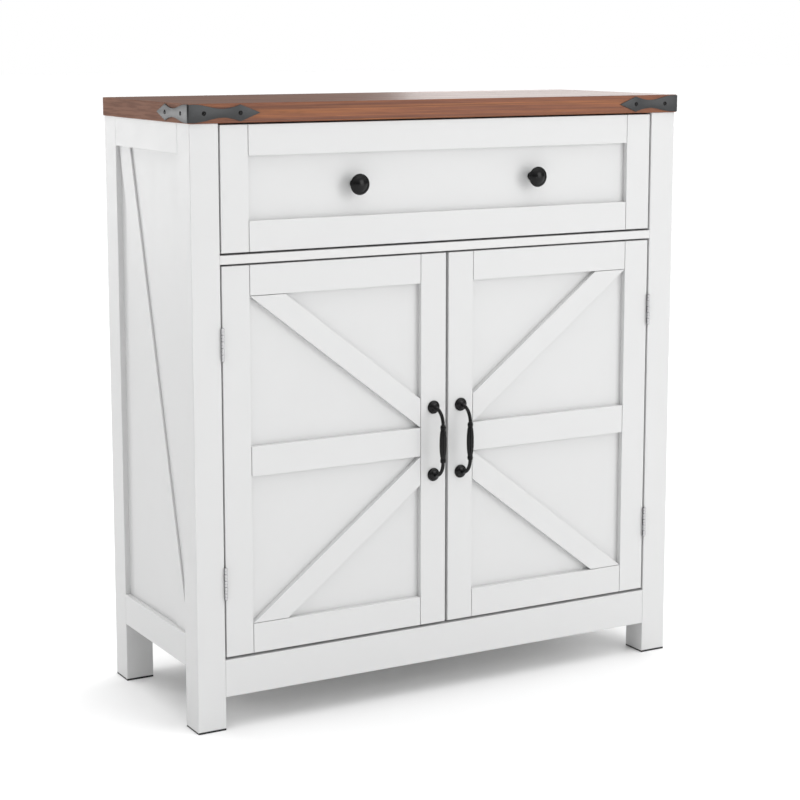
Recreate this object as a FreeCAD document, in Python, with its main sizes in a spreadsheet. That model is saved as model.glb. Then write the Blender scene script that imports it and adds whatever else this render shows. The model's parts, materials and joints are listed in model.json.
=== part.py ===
"""Sideboard buffet: a white cabinet with a walnut top, one drawer and a pair of braced doors.

Frame: X to the right, Y to the back, Z up. The origin is on the floor, midway across the
whole object in X and in Y. The front faces -Y. All sizes are in millimetres.
"""
import FreeCAD
import Part
import os
import re

import Sketcher
from FreeCAD import Placement, Rotation, Vector

# ---------------------------------------------------------------------------
# Driving sizes. Each is one cell of the sheet "Sizes".
# ---------------------------------------------------------------------------
SIZES = {
    # whole cabinet
    "frame_width": 796.0,
    "frame_depth": 308.0,
    "overall_tall": 868.5,
    "top_thick": 26.4,
    "top_overhang": 2.0,
    "leg_side": 42.0,
    "pad_thick": 2.5,
    "pad_inset": 0.2,
    "edge_ease": 0.5,
    "glue_ease": 1.0,
    "joint_gap": 0.8,
    "leg_ease": 1.0,
    # side frames
    "side_recess": 8.0,
    "side_panel_thick": 12.0,
    "side_top_rail": 41.5,
    "side_low_rail": 45.8,
    "side_low_gap": 88.2,
    "side_brace_wide": 39.5,
    "side_brace_thick": 3.0,
    # carcass
    "shelf_board": 12.0,
    "apron_tall": 53.0,
    "apron_floor_gap": 47.6,
    "apron_thick": 18.0,
    "rear_rail_thick": 15.0,
    "back_thick": 4.0,
    "shelf_gap": 1.0,
    "shelf_setback": 6.0,
    "shelf_height": 260.0,
    "peg_pitch": 32.0,
    "peg_dia": 5.0,
    "peg_long": 18.0,
    "peg_hole_deep": 8.0,
    "peg_from_front": 34.0,
    "peg_from_back": 24.0,
    # fronts
    "front_recess": 1.0,
    "side_gap": 2.7,
    "pair_gap": 4.6,
    "door_top_gap": 2.8,
    "door_low_gap": 4.0,
    "drawer_tall": 172.0,
    "drawer_top_gap": 2.5,
    "drawer_low_gap": 3.0,
    "backing_thick": 9.0,
    "strip_thick": 9.0,
    "stile_wide": 41.0,
    "rail_wide": 42.0,
    "door_brace_wide": 33.0,
    # drawer box
    "box_depth": 250.0,
    "box_tall": 120.0,
    "box_wall": 12.0,
    "box_lift": 10.0,
    "box_floor": 4.0,
    "box_floor_rise": 10.0,
    "groove_deep": 5.0,
    "slide_wide": 12.7,
    "slide_tall": 45.0,
    "slide_steel": 1.2,
    "slide_ball_gap": 2.5,
    "slide_rise": 18.0,
    "slide_setback": 2.0,
    # hinges
    "barrel_radius": 2.15,
    "barrel_tall": 45.0,
    "barrel_proud": 2.7,
    "pin_radius": 1.2,
    "pin_clearance": 0.05,
    "knuckle_gap": 0.3,
    "leaf_thick": 1.2,
    "leaf_deep": 16.0,
    "leaf_clearance": 0.65,
    "tab_clearance": 0.3,
    "hinge_inset": 106.0,
    # knobs and pulls
    "knob_spacing": 294.0,
    "knob_head": 14.9,
    "knob_reach": 24.8,
    "knob_flange": 6.4,
    "knob_flange_tall": 1.6,
    "knob_foot_tall": 3.4,
    "knob_foot_taper": 1.4,
    "knob_neck": 4.0,
    "knob_neck_end": 10.5,
    "knob_under": 16.6,
    "knob_rim": 18.6,
    "knob_rim_round": 1.2,
    "knob_face_inset": 3.4,
    "knob_dome": 4.0,
    "bore_spare": 2.0,
    "pull_spacing": 99.4,
    "pull_rise": 28.0,
    "pull_rod": 2.6,
    "pull_rosette": 9.75,
    "rosette_rim_tall": 1.6,
    "rosette_step_tall": 2.6,
    "rosette_step": 1.2,
    "rosette_ledge": 2.4,
    "rosette_dome_tall": 5.2,
    "rosette_dome": 4.9,
    "rosette_neck": 0.3,
    "rosette_reach": 7.0,
    "rod_sink": 1.0,
    "grip_long": 54.7,
    "grip_radius": 5.4,
    "grip_end": 3.6,
    "collar_radius": 4.4,
    "collar_tall": 2.6,
    "screw_shank": 2.0,
    "screw_play": 0.25,
    "screw_head": 4.2,
    "screw_head_tall": 2.2,
    "screw_bite": 5.0,
    # corner brackets
    "strap_thick": 1.5,
    "strap_tall": 24.6,
    "strap_long": 104.5,
    "strap_square": 13.5,
    "strap_waist": 11.6,
    "strap_waist_at": 50.0,
    "strap_hollow": 1.5,
    "strap_lobe": 22.4,
    "strap_lobe_at": 75.5,
    "strap_screw_near": 22.4,
    "strap_screw_far": 75.5,
    "strap_screw_radius": 3.2,
    "strap_screw_reach": 1.1,
    "strap_corner": 2.6,
    "wood_screw_radius": 1.6,
    "wood_screw_long": 14.0,
    "wood_screw_point": 3.0,
    # door catch
    "catch_wide": 60.0,
    "catch_deep": 14.0,
    "catch_tall": 13.0,
    "catch_gap": 0.5,
    "strike_thick": 1.2,
    "strike_wide": 20.0,
    "strike_tall": 14.0,
    "strike_inset": 6.0,
}

# ---------------------------------------------------------------------------
# Places worked out from the driving sizes. Each is one cell of the sheet "Layout".
# ---------------------------------------------------------------------------
LAYOUT = {
    # outside faces
    "half_width": "frame_width / 2",
    "pull_reach": "pull_rise + grip_radius - front_recess",
    "leg_front": "(pull_reach - frame_depth) / 2",
    "leg_back": "leg_front + frame_depth",
    "leg_top": "overall_tall - top_thick",
    "bay_half": "half_width - leg_side",
    "bay_front": "leg_front + leg_side",
    "bay_back": "leg_back - leg_side",
    # side frames
    "panel_face": "half_width - side_recess",
    "panel_inner": "panel_face - side_panel_thick",
    "side_rail_under": "leg_top - side_top_rail",
    "side_rail_over": "side_low_gap + side_low_rail",
    "brace_rise": "side_rail_under - side_rail_over",
    "brace_run": "bay_back - bay_front - side_brace_wide",
    "brace_slant": "sqrt(brace_rise * brace_rise + brace_run * brace_run)",
    "brace_across": "side_brace_wide * brace_slant / brace_rise",
    # heights of the front
    "apron_top": "apron_floor_gap + apron_tall",
    "drawer_top": "leg_top - drawer_top_gap",
    "drawer_low": "drawer_top - drawer_tall",
    "drawer_mid": "(drawer_top + drawer_low) / 2",
    "deck_top": "drawer_low - drawer_low_gap",
    "deck_low": "deck_top - shelf_board",
    "door_top": "deck_low - door_top_gap",
    "door_low": "apron_top + door_low_gap",
    "door_mid": "(door_top + door_low) / 2",
    "door_tall": "door_top - door_low",
    # fronts across and in depth
    "door_outer": "bay_half - side_gap",
    "door_inner": "pair_gap / 2",
    "door_wide": "door_outer - door_inner",
    "strip_face": "leg_front + front_recess",
    "backing_face": "strip_face + strip_thick",
    "front_rear": "backing_face + backing_thick",
    "field_edge": "door_inner + stile_wide + joint_gap",
    "rail_long": "door_wide - 2 * stile_wide - 2 * joint_gap",
    "drawer_rail_long": "2 * (door_outer - stile_wide - joint_gap)",
    "stile_middle": "door_inner + stile_wide / 2",
    # door braces, from the mid rail's edge up to the top rail
    "field_low": "rail_wide / 2 + joint_gap",
    "field_top": "door_tall / 2 - rail_wide - joint_gap",
    "field_rise": "field_top - field_low",
    "field_slant": "sqrt(field_rise * field_rise + rail_long * rail_long)",
    "door_brace_along": "door_brace_wide * field_slant / field_rise",
    "door_brace_up": "door_brace_wide * field_slant / rail_long",
    # back
    "rear_rail_front": "leg_back - rear_rail_thick",
    "back_front": "rear_rail_front - back_thick",
    # drawer box
    "box_half": "bay_half - slide_wide",
    "box_low": "deck_top + box_lift",
    "box_back": "front_rear + box_depth",
    "slide_mid": "box_low + slide_rise + slide_tall / 2",
    "slide_front": "front_rear + slide_setback",
    "slide_long": "box_depth - slide_setback",
    "slide_inner_tall": "slide_tall - 2 * slide_steel - 2 * slide_ball_gap",
    # hinges
    "hinge_x": "bay_half - side_gap / 2",
    "hinge_y": "leg_front - barrel_proud",
    "knuckle_tall": "(barrel_tall - 4 * knuckle_gap) / 5",
    "knuckle_step": "knuckle_tall + knuckle_gap",
    "bore_radius": "pin_radius + pin_clearance",
    "hinge_low": "door_low + hinge_inset",
    "hinge_top": "door_top - hinge_inset",
    # tabletop
    "top_half": "half_width + top_overhang",
    "top_front": "leg_front - top_overhang",
    "strap_mid": "leg_top + top_thick / 2",
    # shelf
    "shelf_front": "bay_front + shelf_setback",
    "shelf_low": "apron_top + shelf_height",
    "peg_front": "shelf_front + peg_from_front",
    "peg_back": "bay_back - peg_from_back",
}

document = FreeCAD.newDocument("sideboard_buffet")
NODES = {}


def bound(text):
    """Turn bare size names into references to the two sheets."""
    def reference(match):
        word = match.group(0)
        if word in SIZES:
            return "Sizes." + word
        if word in LAYOUT:
            return "Layout." + word
        return word
    return re.sub(r"[a-z_]+", reference, str(text))


def make_sheets():
    """Write the driving sizes and the worked-out places into two sheets."""
    sizes = document.addObject("Spreadsheet::Sheet", "Sizes")
    layout = document.addObject("Spreadsheet::Sheet", "Layout")
    for row, (alias, number) in enumerate(SIZES.items(), start=1):
        sizes.set("A%d" % row, alias)
        sizes.set("B%d" % row, str(number))
        sizes.setAlias("B%d" % row, alias)
    for row, (alias, formula) in enumerate(LAYOUT.items(), start=1):
        layout.set("A%d" % row, alias)
        layout.setAlias("B%d" % row, alias)
        layout.set("B%d" % row, "=" + bound(formula).replace("Layout.", ""))
    document.recompute()
    return sizes


sheet = make_sheets()


def value(text):
    """The present value of an expression in size names."""
    return float(sheet.evalExpression(bound(text)))


# ---------------------------------------------------------------------------
# Modelling helpers
# ---------------------------------------------------------------------------
def bind(item, path, text):
    """Bind one property of an object to the sheets."""
    item.setExpression(path, bound(text))


def put(item, corner, turn=None):
    """Place an object, its base point bound to the sheets."""
    item.Placement = Placement(Vector(*[value(text) for text in corner]), turn or Rotation())
    for axis, text in zip("xyz", corner):
        bind(item, "Placement.Base." + axis, text)


def new_body(label):
    """A PartDesign body with its label."""
    body = document.addObject("PartDesign::Body", label)
    body.Label = label
    return body


def new_sketch(body, plane):
    """A sketch attached flat to one of the body's own origin planes."""
    sketch = body.newObject("Sketcher::SketchObject", body.Name + "_sketch")
    support = [item for item in body.Origin.OriginFeatures if item.Role == plane][0]
    sketch.AttachmentSupport = (support, [""])
    sketch.MapMode = "FlatFace"
    return sketch


def outline(body, plane, corners):
    """A closed sketch through corners (across, up, bow), each pinned by two dimensions.

    bow is the height of an arc that bulges to the right of the run from this corner to the
    next, negative for one that bulges to its left, or None for a straight run.
    """
    sketch = new_sketch(body, plane)
    points = [Vector(value(corner[0]), value(corner[1]), 0) for corner in corners]
    edges = []
    for index, corner in enumerate(corners):
        start = points[index]
        end = points[(index + 1) % len(points)]
        if corner[2] is None:
            edges.append(sketch.addGeometry(Part.LineSegment(start, end)))
            continue
        run = end - start
        aside = Vector(run.y, -run.x, 0).normalize()
        crown = (start + end) * 0.5 + aside * value(corner[2])
        edges.append(sketch.addGeometry(Part.Arc(start, crown, end)))
    starts = [ends_of(sketch, edge, points[index]) for index, edge in enumerate(edges)]
    for index, edge in enumerate(edges):
        follower = (index + 1) % len(edges)
        sketch.addConstraint(Sketcher.Constraint(
            "Coincident", edge, 3 - starts[index], edges[follower], starts[follower]))
    for index, corner in enumerate(corners):
        for kind, text, now in (("DistanceX", corner[0], points[index].x),
                                ("DistanceY", corner[1], points[index].y)):
            number = sketch.addConstraint(Sketcher.Constraint(kind, edges[index], starts[index], now))
            sketch.setExpression("Constraints[%d]" % number, bound(text))
    for index, corner in enumerate(corners):
        if corner[2] is None:
            continue
        after = corners[(index + 1) % len(corners)]
        chord = "(({1}) - ({0})) ^ 2 + (({3}) - ({2})) ^ 2".format(corner[0], after[0], corner[1], after[1])
        radius = "abs(({0}) / (8 * ({1})) + ({1}) / 2)".format(chord, corner[2])
        number = sketch.addConstraint(Sketcher.Constraint("Radius", edges[index], value(radius)))
        sketch.setExpression("Constraints[%d]" % number, bound(radius))
    document.recompute()
    return sketch


def ends_of(sketch, edge, start):
    """Which end of an edge (1 or 2) lies at the given start point."""
    return 1 if sketch.getPoint(edge, 1).distanceToPoint(start) < 1e-6 else 2


def pad(body, sketch, length, forward=True):
    """Pad a sketch by a bound length, along or against its normal."""
    feature = body.newObject("PartDesign::Pad", body.Name + "_pad")
    feature.Profile = sketch
    feature.Reversed = not forward
    feature.Refine = True
    bind(feature, "Length", length)
    document.recompute()
    return feature


def ease(body, feature, normals, radius="edge_ease"):
    """Round every edge of the faces that look along the given directions."""
    names = []
    for index, face in enumerate(feature.Shape.Faces, start=1):
        looks = face.normalAt(*face.Surface.parameter(face.CenterOfMass))
        if any(looks.dot(Vector(*normal)) > 0.999 for normal in normals):
            names.append("Face%d" % index)
    rounding = body.newObject("PartDesign::Fillet", body.Name + "_ease")
    rounding.Base = (feature, names)
    bind(rounding, "Radius", radius)
    document.recompute()
    return rounding


def ease_strip(body, outside):
    """Round a glued-on strip: a little on its face, more where it meets the board behind it."""
    inside = [-part for part in outside]
    ease(body, ease(body, body.Tip, (outside,)), (inside,), "glue_ease")


def pocket(body, sketch, length, forward=True):
    """Cut a sketch into the body by a bound length, and make sure that it removed material."""
    before = body.Shape.Volume
    feature = body.newObject("PartDesign::Pocket", body.Name + "_pocket")
    feature.Profile = sketch
    feature.Reversed = not forward
    bind(feature, "Length", length)
    document.recompute()
    if body.Shape.Volume >= before:
        raise RuntimeError(body.Label + ": a pocket cut nothing")
    return feature


def circles(body, plane, centres, radius):
    """A sketch of equal circles with pinned centres."""
    sketch = new_sketch(body, plane)
    for across, up in centres:
        centre = Vector(value(across), value(up), 0)
        edge = sketch.addGeometry(Part.Circle(centre, Vector(0, 0, 1), value(radius)))
        for kind, text, now in (("DistanceX", across, centre.x), ("DistanceY", up, centre.y)):
            number = sketch.addConstraint(Sketcher.Constraint(kind, edge, 3, now))
            sketch.setExpression("Constraints[%d]" % number, bound(text))
        number = sketch.addConstraint(Sketcher.Constraint("Radius", edge, value(radius)))
        sketch.setExpression("Constraints[%d]" % number, bound(radius))
    document.recompute()
    return sketch


def board(label, low, size, eased=(), radius="edge_ease"):
    """A rectangular board from its low corner and its three sizes."""
    body = new_body(label)
    corners = [("0", "0", None), (size[0], "0", None), (size[0], size[1], None), ("0", size[1], None)]
    feature = pad(body, outline(body, "XY_Plane", corners), size[2])
    if eased:
        ease(body, feature, eased, radius)
    put(body, low)
    return body


def plate(label, plane, corners, length, place, forward=True):
    """A flat piece of any outline."""
    body = new_body(label)
    pad(body, outline(body, plane, corners), length, forward)
    put(body, place)
    return body


def turned(body, plane, corners, axis):
    """Revolve an outline fully about one of the sketch's own axes."""
    sketch = outline(body, plane, corners)
    feature = body.newObject("PartDesign::Revolution", body.Name + "_turned")
    feature.Profile = sketch
    feature.ReferenceAxis = (sketch, [axis])
    feature.Angle = 360
    document.recompute()
    return sketch


def cylinder(label, radius, length, place, turn=None):
    """A plain round pin."""
    item = document.addObject("Part::Cylinder", label)
    bind(item, "Radius", radius)
    bind(item, "Height", length)
    put(item, place, turn)
    return item


def box(label, low, size):
    """A plain block."""
    item = document.addObject("Part::Box", label)
    for side, text in zip(("Length", "Width", "Height"), size):
        bind(item, side, text)
    put(item, low)
    return item


def fused(label, members):
    """Several overlapping solids as one."""
    item = document.addObject("Part::MultiFuse", label)
    item.Shapes = members
    document.recompute()
    return item


def cut(label, base, tool):
    """One solid with another taken out of it, checked to have removed material."""
    item = document.addObject("Part::Cut", label)
    item.Base = base
    item.Tool = tool
    document.recompute()
    if item.Shape.Volume >= base.Shape.Volume:
        raise RuntimeError(label + ": a cut removed nothing")
    return item


def group(label, members):
    """Several separate solids that share one node."""
    item = document.addObject("Part::Compound", label)
    item.Links = members
    return item


def node(label, item):
    """Register an object as one of the parts that are written out."""
    item.Label = label
    NODES[label] = item


def mirrored_low(side, inner, size):
    """The low X of a piece that starts at distance inner from the middle, on either side."""
    return inner if side > 0 else "-({0}) - ({1})".format(inner, size)


def signed(side, text):
    """A distance from the middle, on either side."""
    return text if side > 0 else "-({0})".format(text)


SIDES = {"left": -1, "right": 1}
FRONT = (0, -1, 0)
BACK = (0, 1, 0)
UP = (0, 0, 1)
DOWN = (0, 0, -1)
TO_FRONT = Rotation(Vector(1, 0, 0), 90)


def outward(side):
    """The direction that looks out of the cabinet on one side."""
    return (side, 0, 0)


# ---------------------------------------------------------------------------
# Top, legs and feet
# ---------------------------------------------------------------------------
def make_top():
    """The walnut board on top of the legs."""
    item = board("tabletop", ("-top_half", "top_front", "leg_top"),
                 ("2 * top_half", "leg_back - top_front", "top_thick"), (UP, DOWN), "leg_ease")
    node("tabletop", item)


def make_legs():
    """Four square legs, each on a thin floor pad."""
    pads = []
    for side_name, side in SIDES.items():
        for end_name, front in (("front", "leg_front"), ("rear", "bay_back")):
            low_x = mirrored_low(side, "bay_half", "leg_side")
            name = "leg_%s_%s" % (end_name, side_name)
            leg = board(name, (low_x, front, "pad_thick"),
                        ("leg_side", "leg_side", "leg_top - pad_thick"), (FRONT, BACK), "leg_ease")
            node(name, leg)
            pad_side = "leg_side - 2 * pad_inset"
            pads.append(board("foot_pad_%s_%s" % (end_name, side_name),
                              (low_x + " + pad_inset", front + " + pad_inset", "0"),
                              (pad_side, pad_side, "pad_thick")))
    node("foot_pads", group("foot_pads", pads))


# ---------------------------------------------------------------------------
# Side frames
# ---------------------------------------------------------------------------
def make_side(side_name, side):
    """One side: a panel between the legs, with two rails and a slanting brace on its face."""
    outside = outward(side)
    bay_deep = "bay_back - bay_front"
    panel = board("side_panel_" + side_name,
                  (mirrored_low(side, "panel_inner", "side_panel_thick"), "bay_front", "side_low_gap"),
                  ("side_panel_thick", bay_deep, "leg_top - side_low_gap"))
    drill_peg_holes(panel, side)
    node("side_panel_" + side_name, panel)
    strip_x = mirrored_low(side, "panel_face", "side_recess")
    for name, low, tall in (("side_top_rail_", "side_rail_under", "side_top_rail"),
                            ("side_bottom_rail_", "side_low_gap", "side_low_rail")):
        rail = board(name + side_name, (strip_x, "bay_front", low), ("side_recess", bay_deep, tall))
        ease_strip(rail, outside)
        node(name + side_name, rail)
    # Seen from the side: from the front end of the bottom rail up to the back end of the top one.
    head = "bay_back - bay_front"
    corners = [
        ("0", "0", None),
        ("brace_across", "0", None),
        (head, "brace_rise", None),
        (head + " - brace_across", "brace_rise", None),
    ]
    place = (signed(side, "panel_face"), "bay_front", "side_rail_over")
    brace = plate("side_brace_" + side_name, "YZ_Plane", corners, "side_brace_thick", place, side > 0)
    ease_strip(brace, outside)
    node("side_brace_" + side_name, brace)


def drill_peg_holes(panel, side):
    """Blind holes for the shelf pegs, three high at each end, in the panel's inner face."""
    centres = []
    for along in ("peg_front - bay_front", "peg_back - bay_front"):
        for step in (-1, 0, 1):
            centres.append((along, "shelf_low - peg_dia / 2 - side_low_gap + %d * peg_pitch" % step))
    sketch = circles(panel, "YZ_Plane", centres, "peg_dia / 2")
    if side < 0:
        sketch.setExpression("AttachmentOffset.Base.z", bound("side_panel_thick"))
    pocket(panel, sketch, "peg_hole_deep", forward=side < 0)


# ---------------------------------------------------------------------------
# Carcass between the sides
# ---------------------------------------------------------------------------
def notched_board(label, front, back, low_z, inset, front_notch):
    """A level board as wide as the cabinet inside, notched round the legs."""
    wide = "panel_inner - (%s)" % inset
    narrow = "bay_half - (%s)" % inset
    rear_step = "bay_back - (%s) - (%s)" % (inset, front)
    front_step = "bay_front + (%s) - (%s)" % (inset, front)
    depth = "(%s) - (%s)" % (back, front)
    right = []
    if front_notch:
        right += [(narrow, "0", None), (narrow, front_step, None), (wide, front_step, None)]
    else:
        right += [(wide, "0", None)]
    right += [(wide, rear_step, None), (narrow, rear_step, None), (narrow, depth, None)]
    left = [("-(%s)" % across, along, None) for across, along, _ in reversed(right)]
    return plate(label, "XY_Plane", right + left, "shelf_board", ("0", front, low_z))


def make_carcass():
    """Deck under the drawer, cupboard floor, apron, back rails, back panel and shelf."""
    node("drawer_deck", notched_board("drawer_deck", "leg_front", "back_front", "deck_low", "0", True))
    node("bottom_panel", notched_board("bottom_panel", "leg_front + apron_thick", "back_front",
                                       "apron_top - shelf_board", "0", True))
    node("shelf", notched_board("shelf", "shelf_front", "back_front - shelf_gap", "shelf_low",
                                "shelf_gap", False))
    node("front_apron", board("front_apron", ("-bay_half", "leg_front", "apron_floor_gap"),
                              ("2 * bay_half", "apron_thick", "apron_tall"), (FRONT,),
                              "glue_ease"))
    rails = []
    for name, low, tall in (("upper", "leg_top - apron_tall", "apron_tall"),
                            ("lower", "apron_floor_gap", "apron_tall")):
        rails.append(board("rear_rail_" + name, ("-bay_half", "rear_rail_front", low),
                           ("2 * bay_half", "rear_rail_thick", tall), (BACK,)))
    node("rear_rails", group("rear_rails", rails))
    node("back_panel", board("back_panel", ("-bay_half", "back_front", "apron_floor_gap"),
                             ("2 * bay_half", "back_thick", "leg_top - apron_floor_gap")))


def make_shelf_pegs():
    """Four steel pegs under the shelf, in the side panels' holes."""
    pegs = []
    for side_name, side in SIDES.items():
        low_x = mirrored_low(side, "panel_inner + peg_hole_deep - peg_long", "peg_long")
        for end_name, along in (("front", "peg_front"), ("back", "peg_back")):
            pegs.append(cylinder("shelf_peg_%s_%s" % (end_name, side_name), "peg_dia / 2", "peg_long",
                                 (low_x, along, "shelf_low - peg_dia / 2"),
                                 Rotation(Vector(0, 1, 0), 90)))
    node("shelf_pegs", group("shelf_pegs", pegs))


# ---------------------------------------------------------------------------
# Applied frames of the drawer front and the doors
# ---------------------------------------------------------------------------
def drilled(item, centres, radius, depth):
    """Drill round holes from the front of a board whose low front corner is its own origin."""
    sketch = circles(item, "XZ_Plane", centres, radius)
    pocket(item, sketch, depth, forward=True)


def make_drawer_front():
    """Backing board, two stiles and two rails of the drawer front."""
    wide = "2 * door_outer"
    panel = board("drawer_front_panel", ("-door_outer", "backing_face", "drawer_low"),
                  (wide, "backing_thick", "drawer_tall"))
    centres = [("door_outer + (%d) * knob_spacing / 2" % side, "drawer_tall / 2") for side in (-1, 1)]
    drilled(panel, centres, "screw_shank + screw_play", "backing_thick")
    node("drawer_front_panel", panel)
    stiles = []
    for side_name, side in SIDES.items():
        stile = board("drawer_stile_" + side_name,
                      (mirrored_low(side, "door_outer - stile_wide", "stile_wide"), "strip_face",
                       "drawer_low"), ("stile_wide", "strip_thick", "drawer_tall"))
        ease_strip(stile, FRONT)
        stiles.append(stile)
    node("drawer_front_stiles", group("drawer_front_stiles", stiles))
    rails = []
    for name, low in (("top", "drawer_top - rail_wide"), ("bottom", "drawer_low")):
        rail = board("drawer_rail_" + name, ("-drawer_rail_long / 2", "strip_face", low),
                     ("drawer_rail_long", "strip_thick", "rail_wide"))
        ease_strip(rail, FRONT)
        rails.append(rail)
    node("drawer_front_rails", group("drawer_front_rails", rails))


def make_door(name, side):
    """One door: backing board, applied stiles, rails and two braces."""
    label = "door_" + name
    outer_low = mirrored_low(side, "door_inner", "door_wide")
    hole = "screw_shank + screw_play"
    pull_from_low = "stile_middle - door_inner" if side > 0 else "door_outer - stile_middle"
    heights = ["door_tall / 2 + (%d) * pull_spacing / 2" % step for step in (-1, 1)]
    panel = board(label + "_panel", (outer_low, "backing_face", "door_low"),
                  ("door_wide", "backing_thick", "door_tall"))
    drilled(panel, [(pull_from_low, height) for height in heights], hole, "backing_thick")
    node(label + "_panel", panel)

    stile = ("stile_wide", "strip_thick", "door_tall")
    outer = board(label + "_outer_stile",
                  (mirrored_low(side, "door_outer - stile_wide", "stile_wide"), "strip_face", "door_low"),
                  stile)
    ease_strip(outer, FRONT)
    node(label + "_outer_stile", outer)
    inner = board(label + "_inner_stile",
                  (mirrored_low(side, "door_inner", "stile_wide"), "strip_face", "door_low"), stile)
    ease_strip(inner, FRONT)
    drilled(inner, [("stile_wide / 2", height) for height in heights], hole, "strip_thick")
    node(label + "_inner_stile", inner)

    rail_low = mirrored_low(side, "field_edge", "rail_long")
    for rail, low in (("top", "door_top - rail_wide"), ("mid", "door_mid - rail_wide / 2"),
                      ("bottom", "door_low")):
        item = board("%s_%s_rail" % (label, rail), (rail_low, "strip_face", low),
                     ("rail_long", "strip_thick", "rail_wide"))
        ease_strip(item, FRONT)
        node("%s_%s_rail" % (label, rail), item)

    # Each brace runs from the mid rail at the inner stile to the outer corner of its field.
    braces = []
    for brace, up in (("upper", 1), ("lower", -1)):
        corners = [
            ("0", signed(up, "field_low"), None),
            (signed(side, "rail_long"), signed(up, "field_top"), None),
            (signed(side, "rail_long - door_brace_along"), signed(up, "field_top"), None),
            ("0", signed(up, "field_low + door_brace_up"), None),
        ]
        place = (signed(side, "field_edge"), "backing_face", "door_mid")
        item = plate("%s_%s_brace" % (label, brace), "XZ_Plane", corners, "strip_thick", place)
        ease_strip(item, FRONT)
        braces.append(item)
    node(label + "_braces", group(label + "_braces", braces))


# ---------------------------------------------------------------------------
# Drawer box and its slides
# ---------------------------------------------------------------------------
def make_drawer_box():
    """Grooved sides and a back round a thin floor, behind the drawer front."""
    sides = []
    for side_name, side in SIDES.items():
        item = board("drawer_side_" + side_name,
                     (mirrored_low(side, "box_half - box_wall", "box_wall"), "front_rear", "box_low"),
                     ("box_wall", "box_depth", "box_tall"), (UP,))
        groove = outline(item, "XZ_Plane", groove_corners(side))
        pocket(item, groove, "box_depth", forward=True)
        sides.append(item)
    node("drawer_sides", group("drawer_sides", sides))
    back = board("drawer_back", ("box_wall - box_half", "box_back - box_wall",
                                 "box_low + box_floor_rise + box_floor"),
                 ("2 * box_half - 2 * box_wall", "box_wall", "box_tall - box_floor_rise - box_floor"),
                 (UP,))
    node("drawer_back", back)
    floor = board("drawer_bottom", ("box_wall - box_half - groove_deep", "front_rear",
                                    "box_low + box_floor_rise"),
                  ("2 * (box_half - box_wall + groove_deep)", "box_depth", "box_floor"))
    node("drawer_bottom", floor)


def groove_corners(side):
    """The groove for the drawer floor, in a side's own end view."""
    low, high = ("box_wall - groove_deep", "box_wall") if side < 0 else ("0", "groove_deep")
    top = "box_floor_rise + box_floor"
    return [(low, "box_floor_rise", None), (high, "box_floor_rise", None), (high, top, None),
            (low, top, None)]


def channel_corners(side, tall, web, lip_end):
    """A C section: its web's outer face, then its two lips, as distances from the middle."""
    half = "(%s) / 2" % tall
    step = "slide_steel" if value(lip_end) > value(web) else "-slide_steel"
    inside = "(%s) + (%s)" % (web, step)
    lip = half + " - slide_steel"
    ring = [(web, "-" + half), (lip_end, "-" + half), (lip_end, "-(%s)" % lip), (inside, "-(%s)" % lip),
            (inside, lip), (lip_end, lip), (lip_end, half), (web, half)]
    return [(signed(side, across), up, None) for across, up in ring]


def make_slides():
    """Two-part telescopic slides, the cabinet's members on cleats between the legs."""
    cleats = []
    outer = []
    inner = []
    for side_name, side in SIDES.items():
        cleats.append(board("slide_cleat_" + side_name,
                            (mirrored_low(side, "bay_half", "panel_inner - bay_half"), "bay_front",
                             "slide_mid - slide_tall / 2"),
                            ("panel_inner - bay_half", "bay_back - bay_front", "slide_tall")))
        place = ("0", "slide_front + slide_long", "slide_mid")
        outer.append(plate("cabinet_slide_" + side_name, "XZ_Plane",
                           channel_corners(side, "slide_tall", "bay_half", "box_half + 2 * slide_steel"),
                           "slide_long", place))
        inner.append(plate("drawer_slide_" + side_name, "XZ_Plane",
                           channel_corners(side, "slide_inner_tall", "box_half",
                                           "bay_half - 2 * slide_steel"),
                           "slide_long", place))
    node("slide_cleats", group("slide_cleats", cleats))
    node("cabinet_slides", group("cabinet_slides", outer))
    node("drawer_slides", group("drawer_slides", inner))


# ---------------------------------------------------------------------------
# Hinges
# ---------------------------------------------------------------------------
def hinge_leaf(label, side, low_z, knuckles, on_leg):
    """A leaf lying in the gap beside a door, with its share of the five knuckles."""
    wall = "bay_half - leaf_thick" if on_leg else "door_outer"
    plate_x = mirrored_low(side, wall, "leaf_thick")
    members = [box(label + "_plate", (plate_x, "hinge_y + barrel_radius + leaf_clearance", low_z),
                   ("leaf_thick", "leaf_deep", "barrel_tall"))]
    for index in knuckles:
        rise = "(%s) + %d * knuckle_step" % (low_z, index)
        axis = (signed(side, "hinge_x"), "hinge_y", rise)
        members.append(cylinder("%s_knuckle_%d" % (label, index), "barrel_radius", "knuckle_tall", axis))
        members.append(box("%s_tab_%d" % (label, index), (plate_x, "hinge_y + bore_radius + tab_clearance",
                                                           rise),
                           ("leaf_thick", "barrel_radius + leaf_clearance - bore_radius",
                            "knuckle_tall")))
    solid = fused(label + "_solid", members)
    bore = cylinder(label + "_bore", "bore_radius", "barrel_tall",
                    (signed(side, "hinge_x"), "hinge_y", low_z))
    return cut(label, solid, bore)


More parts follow.
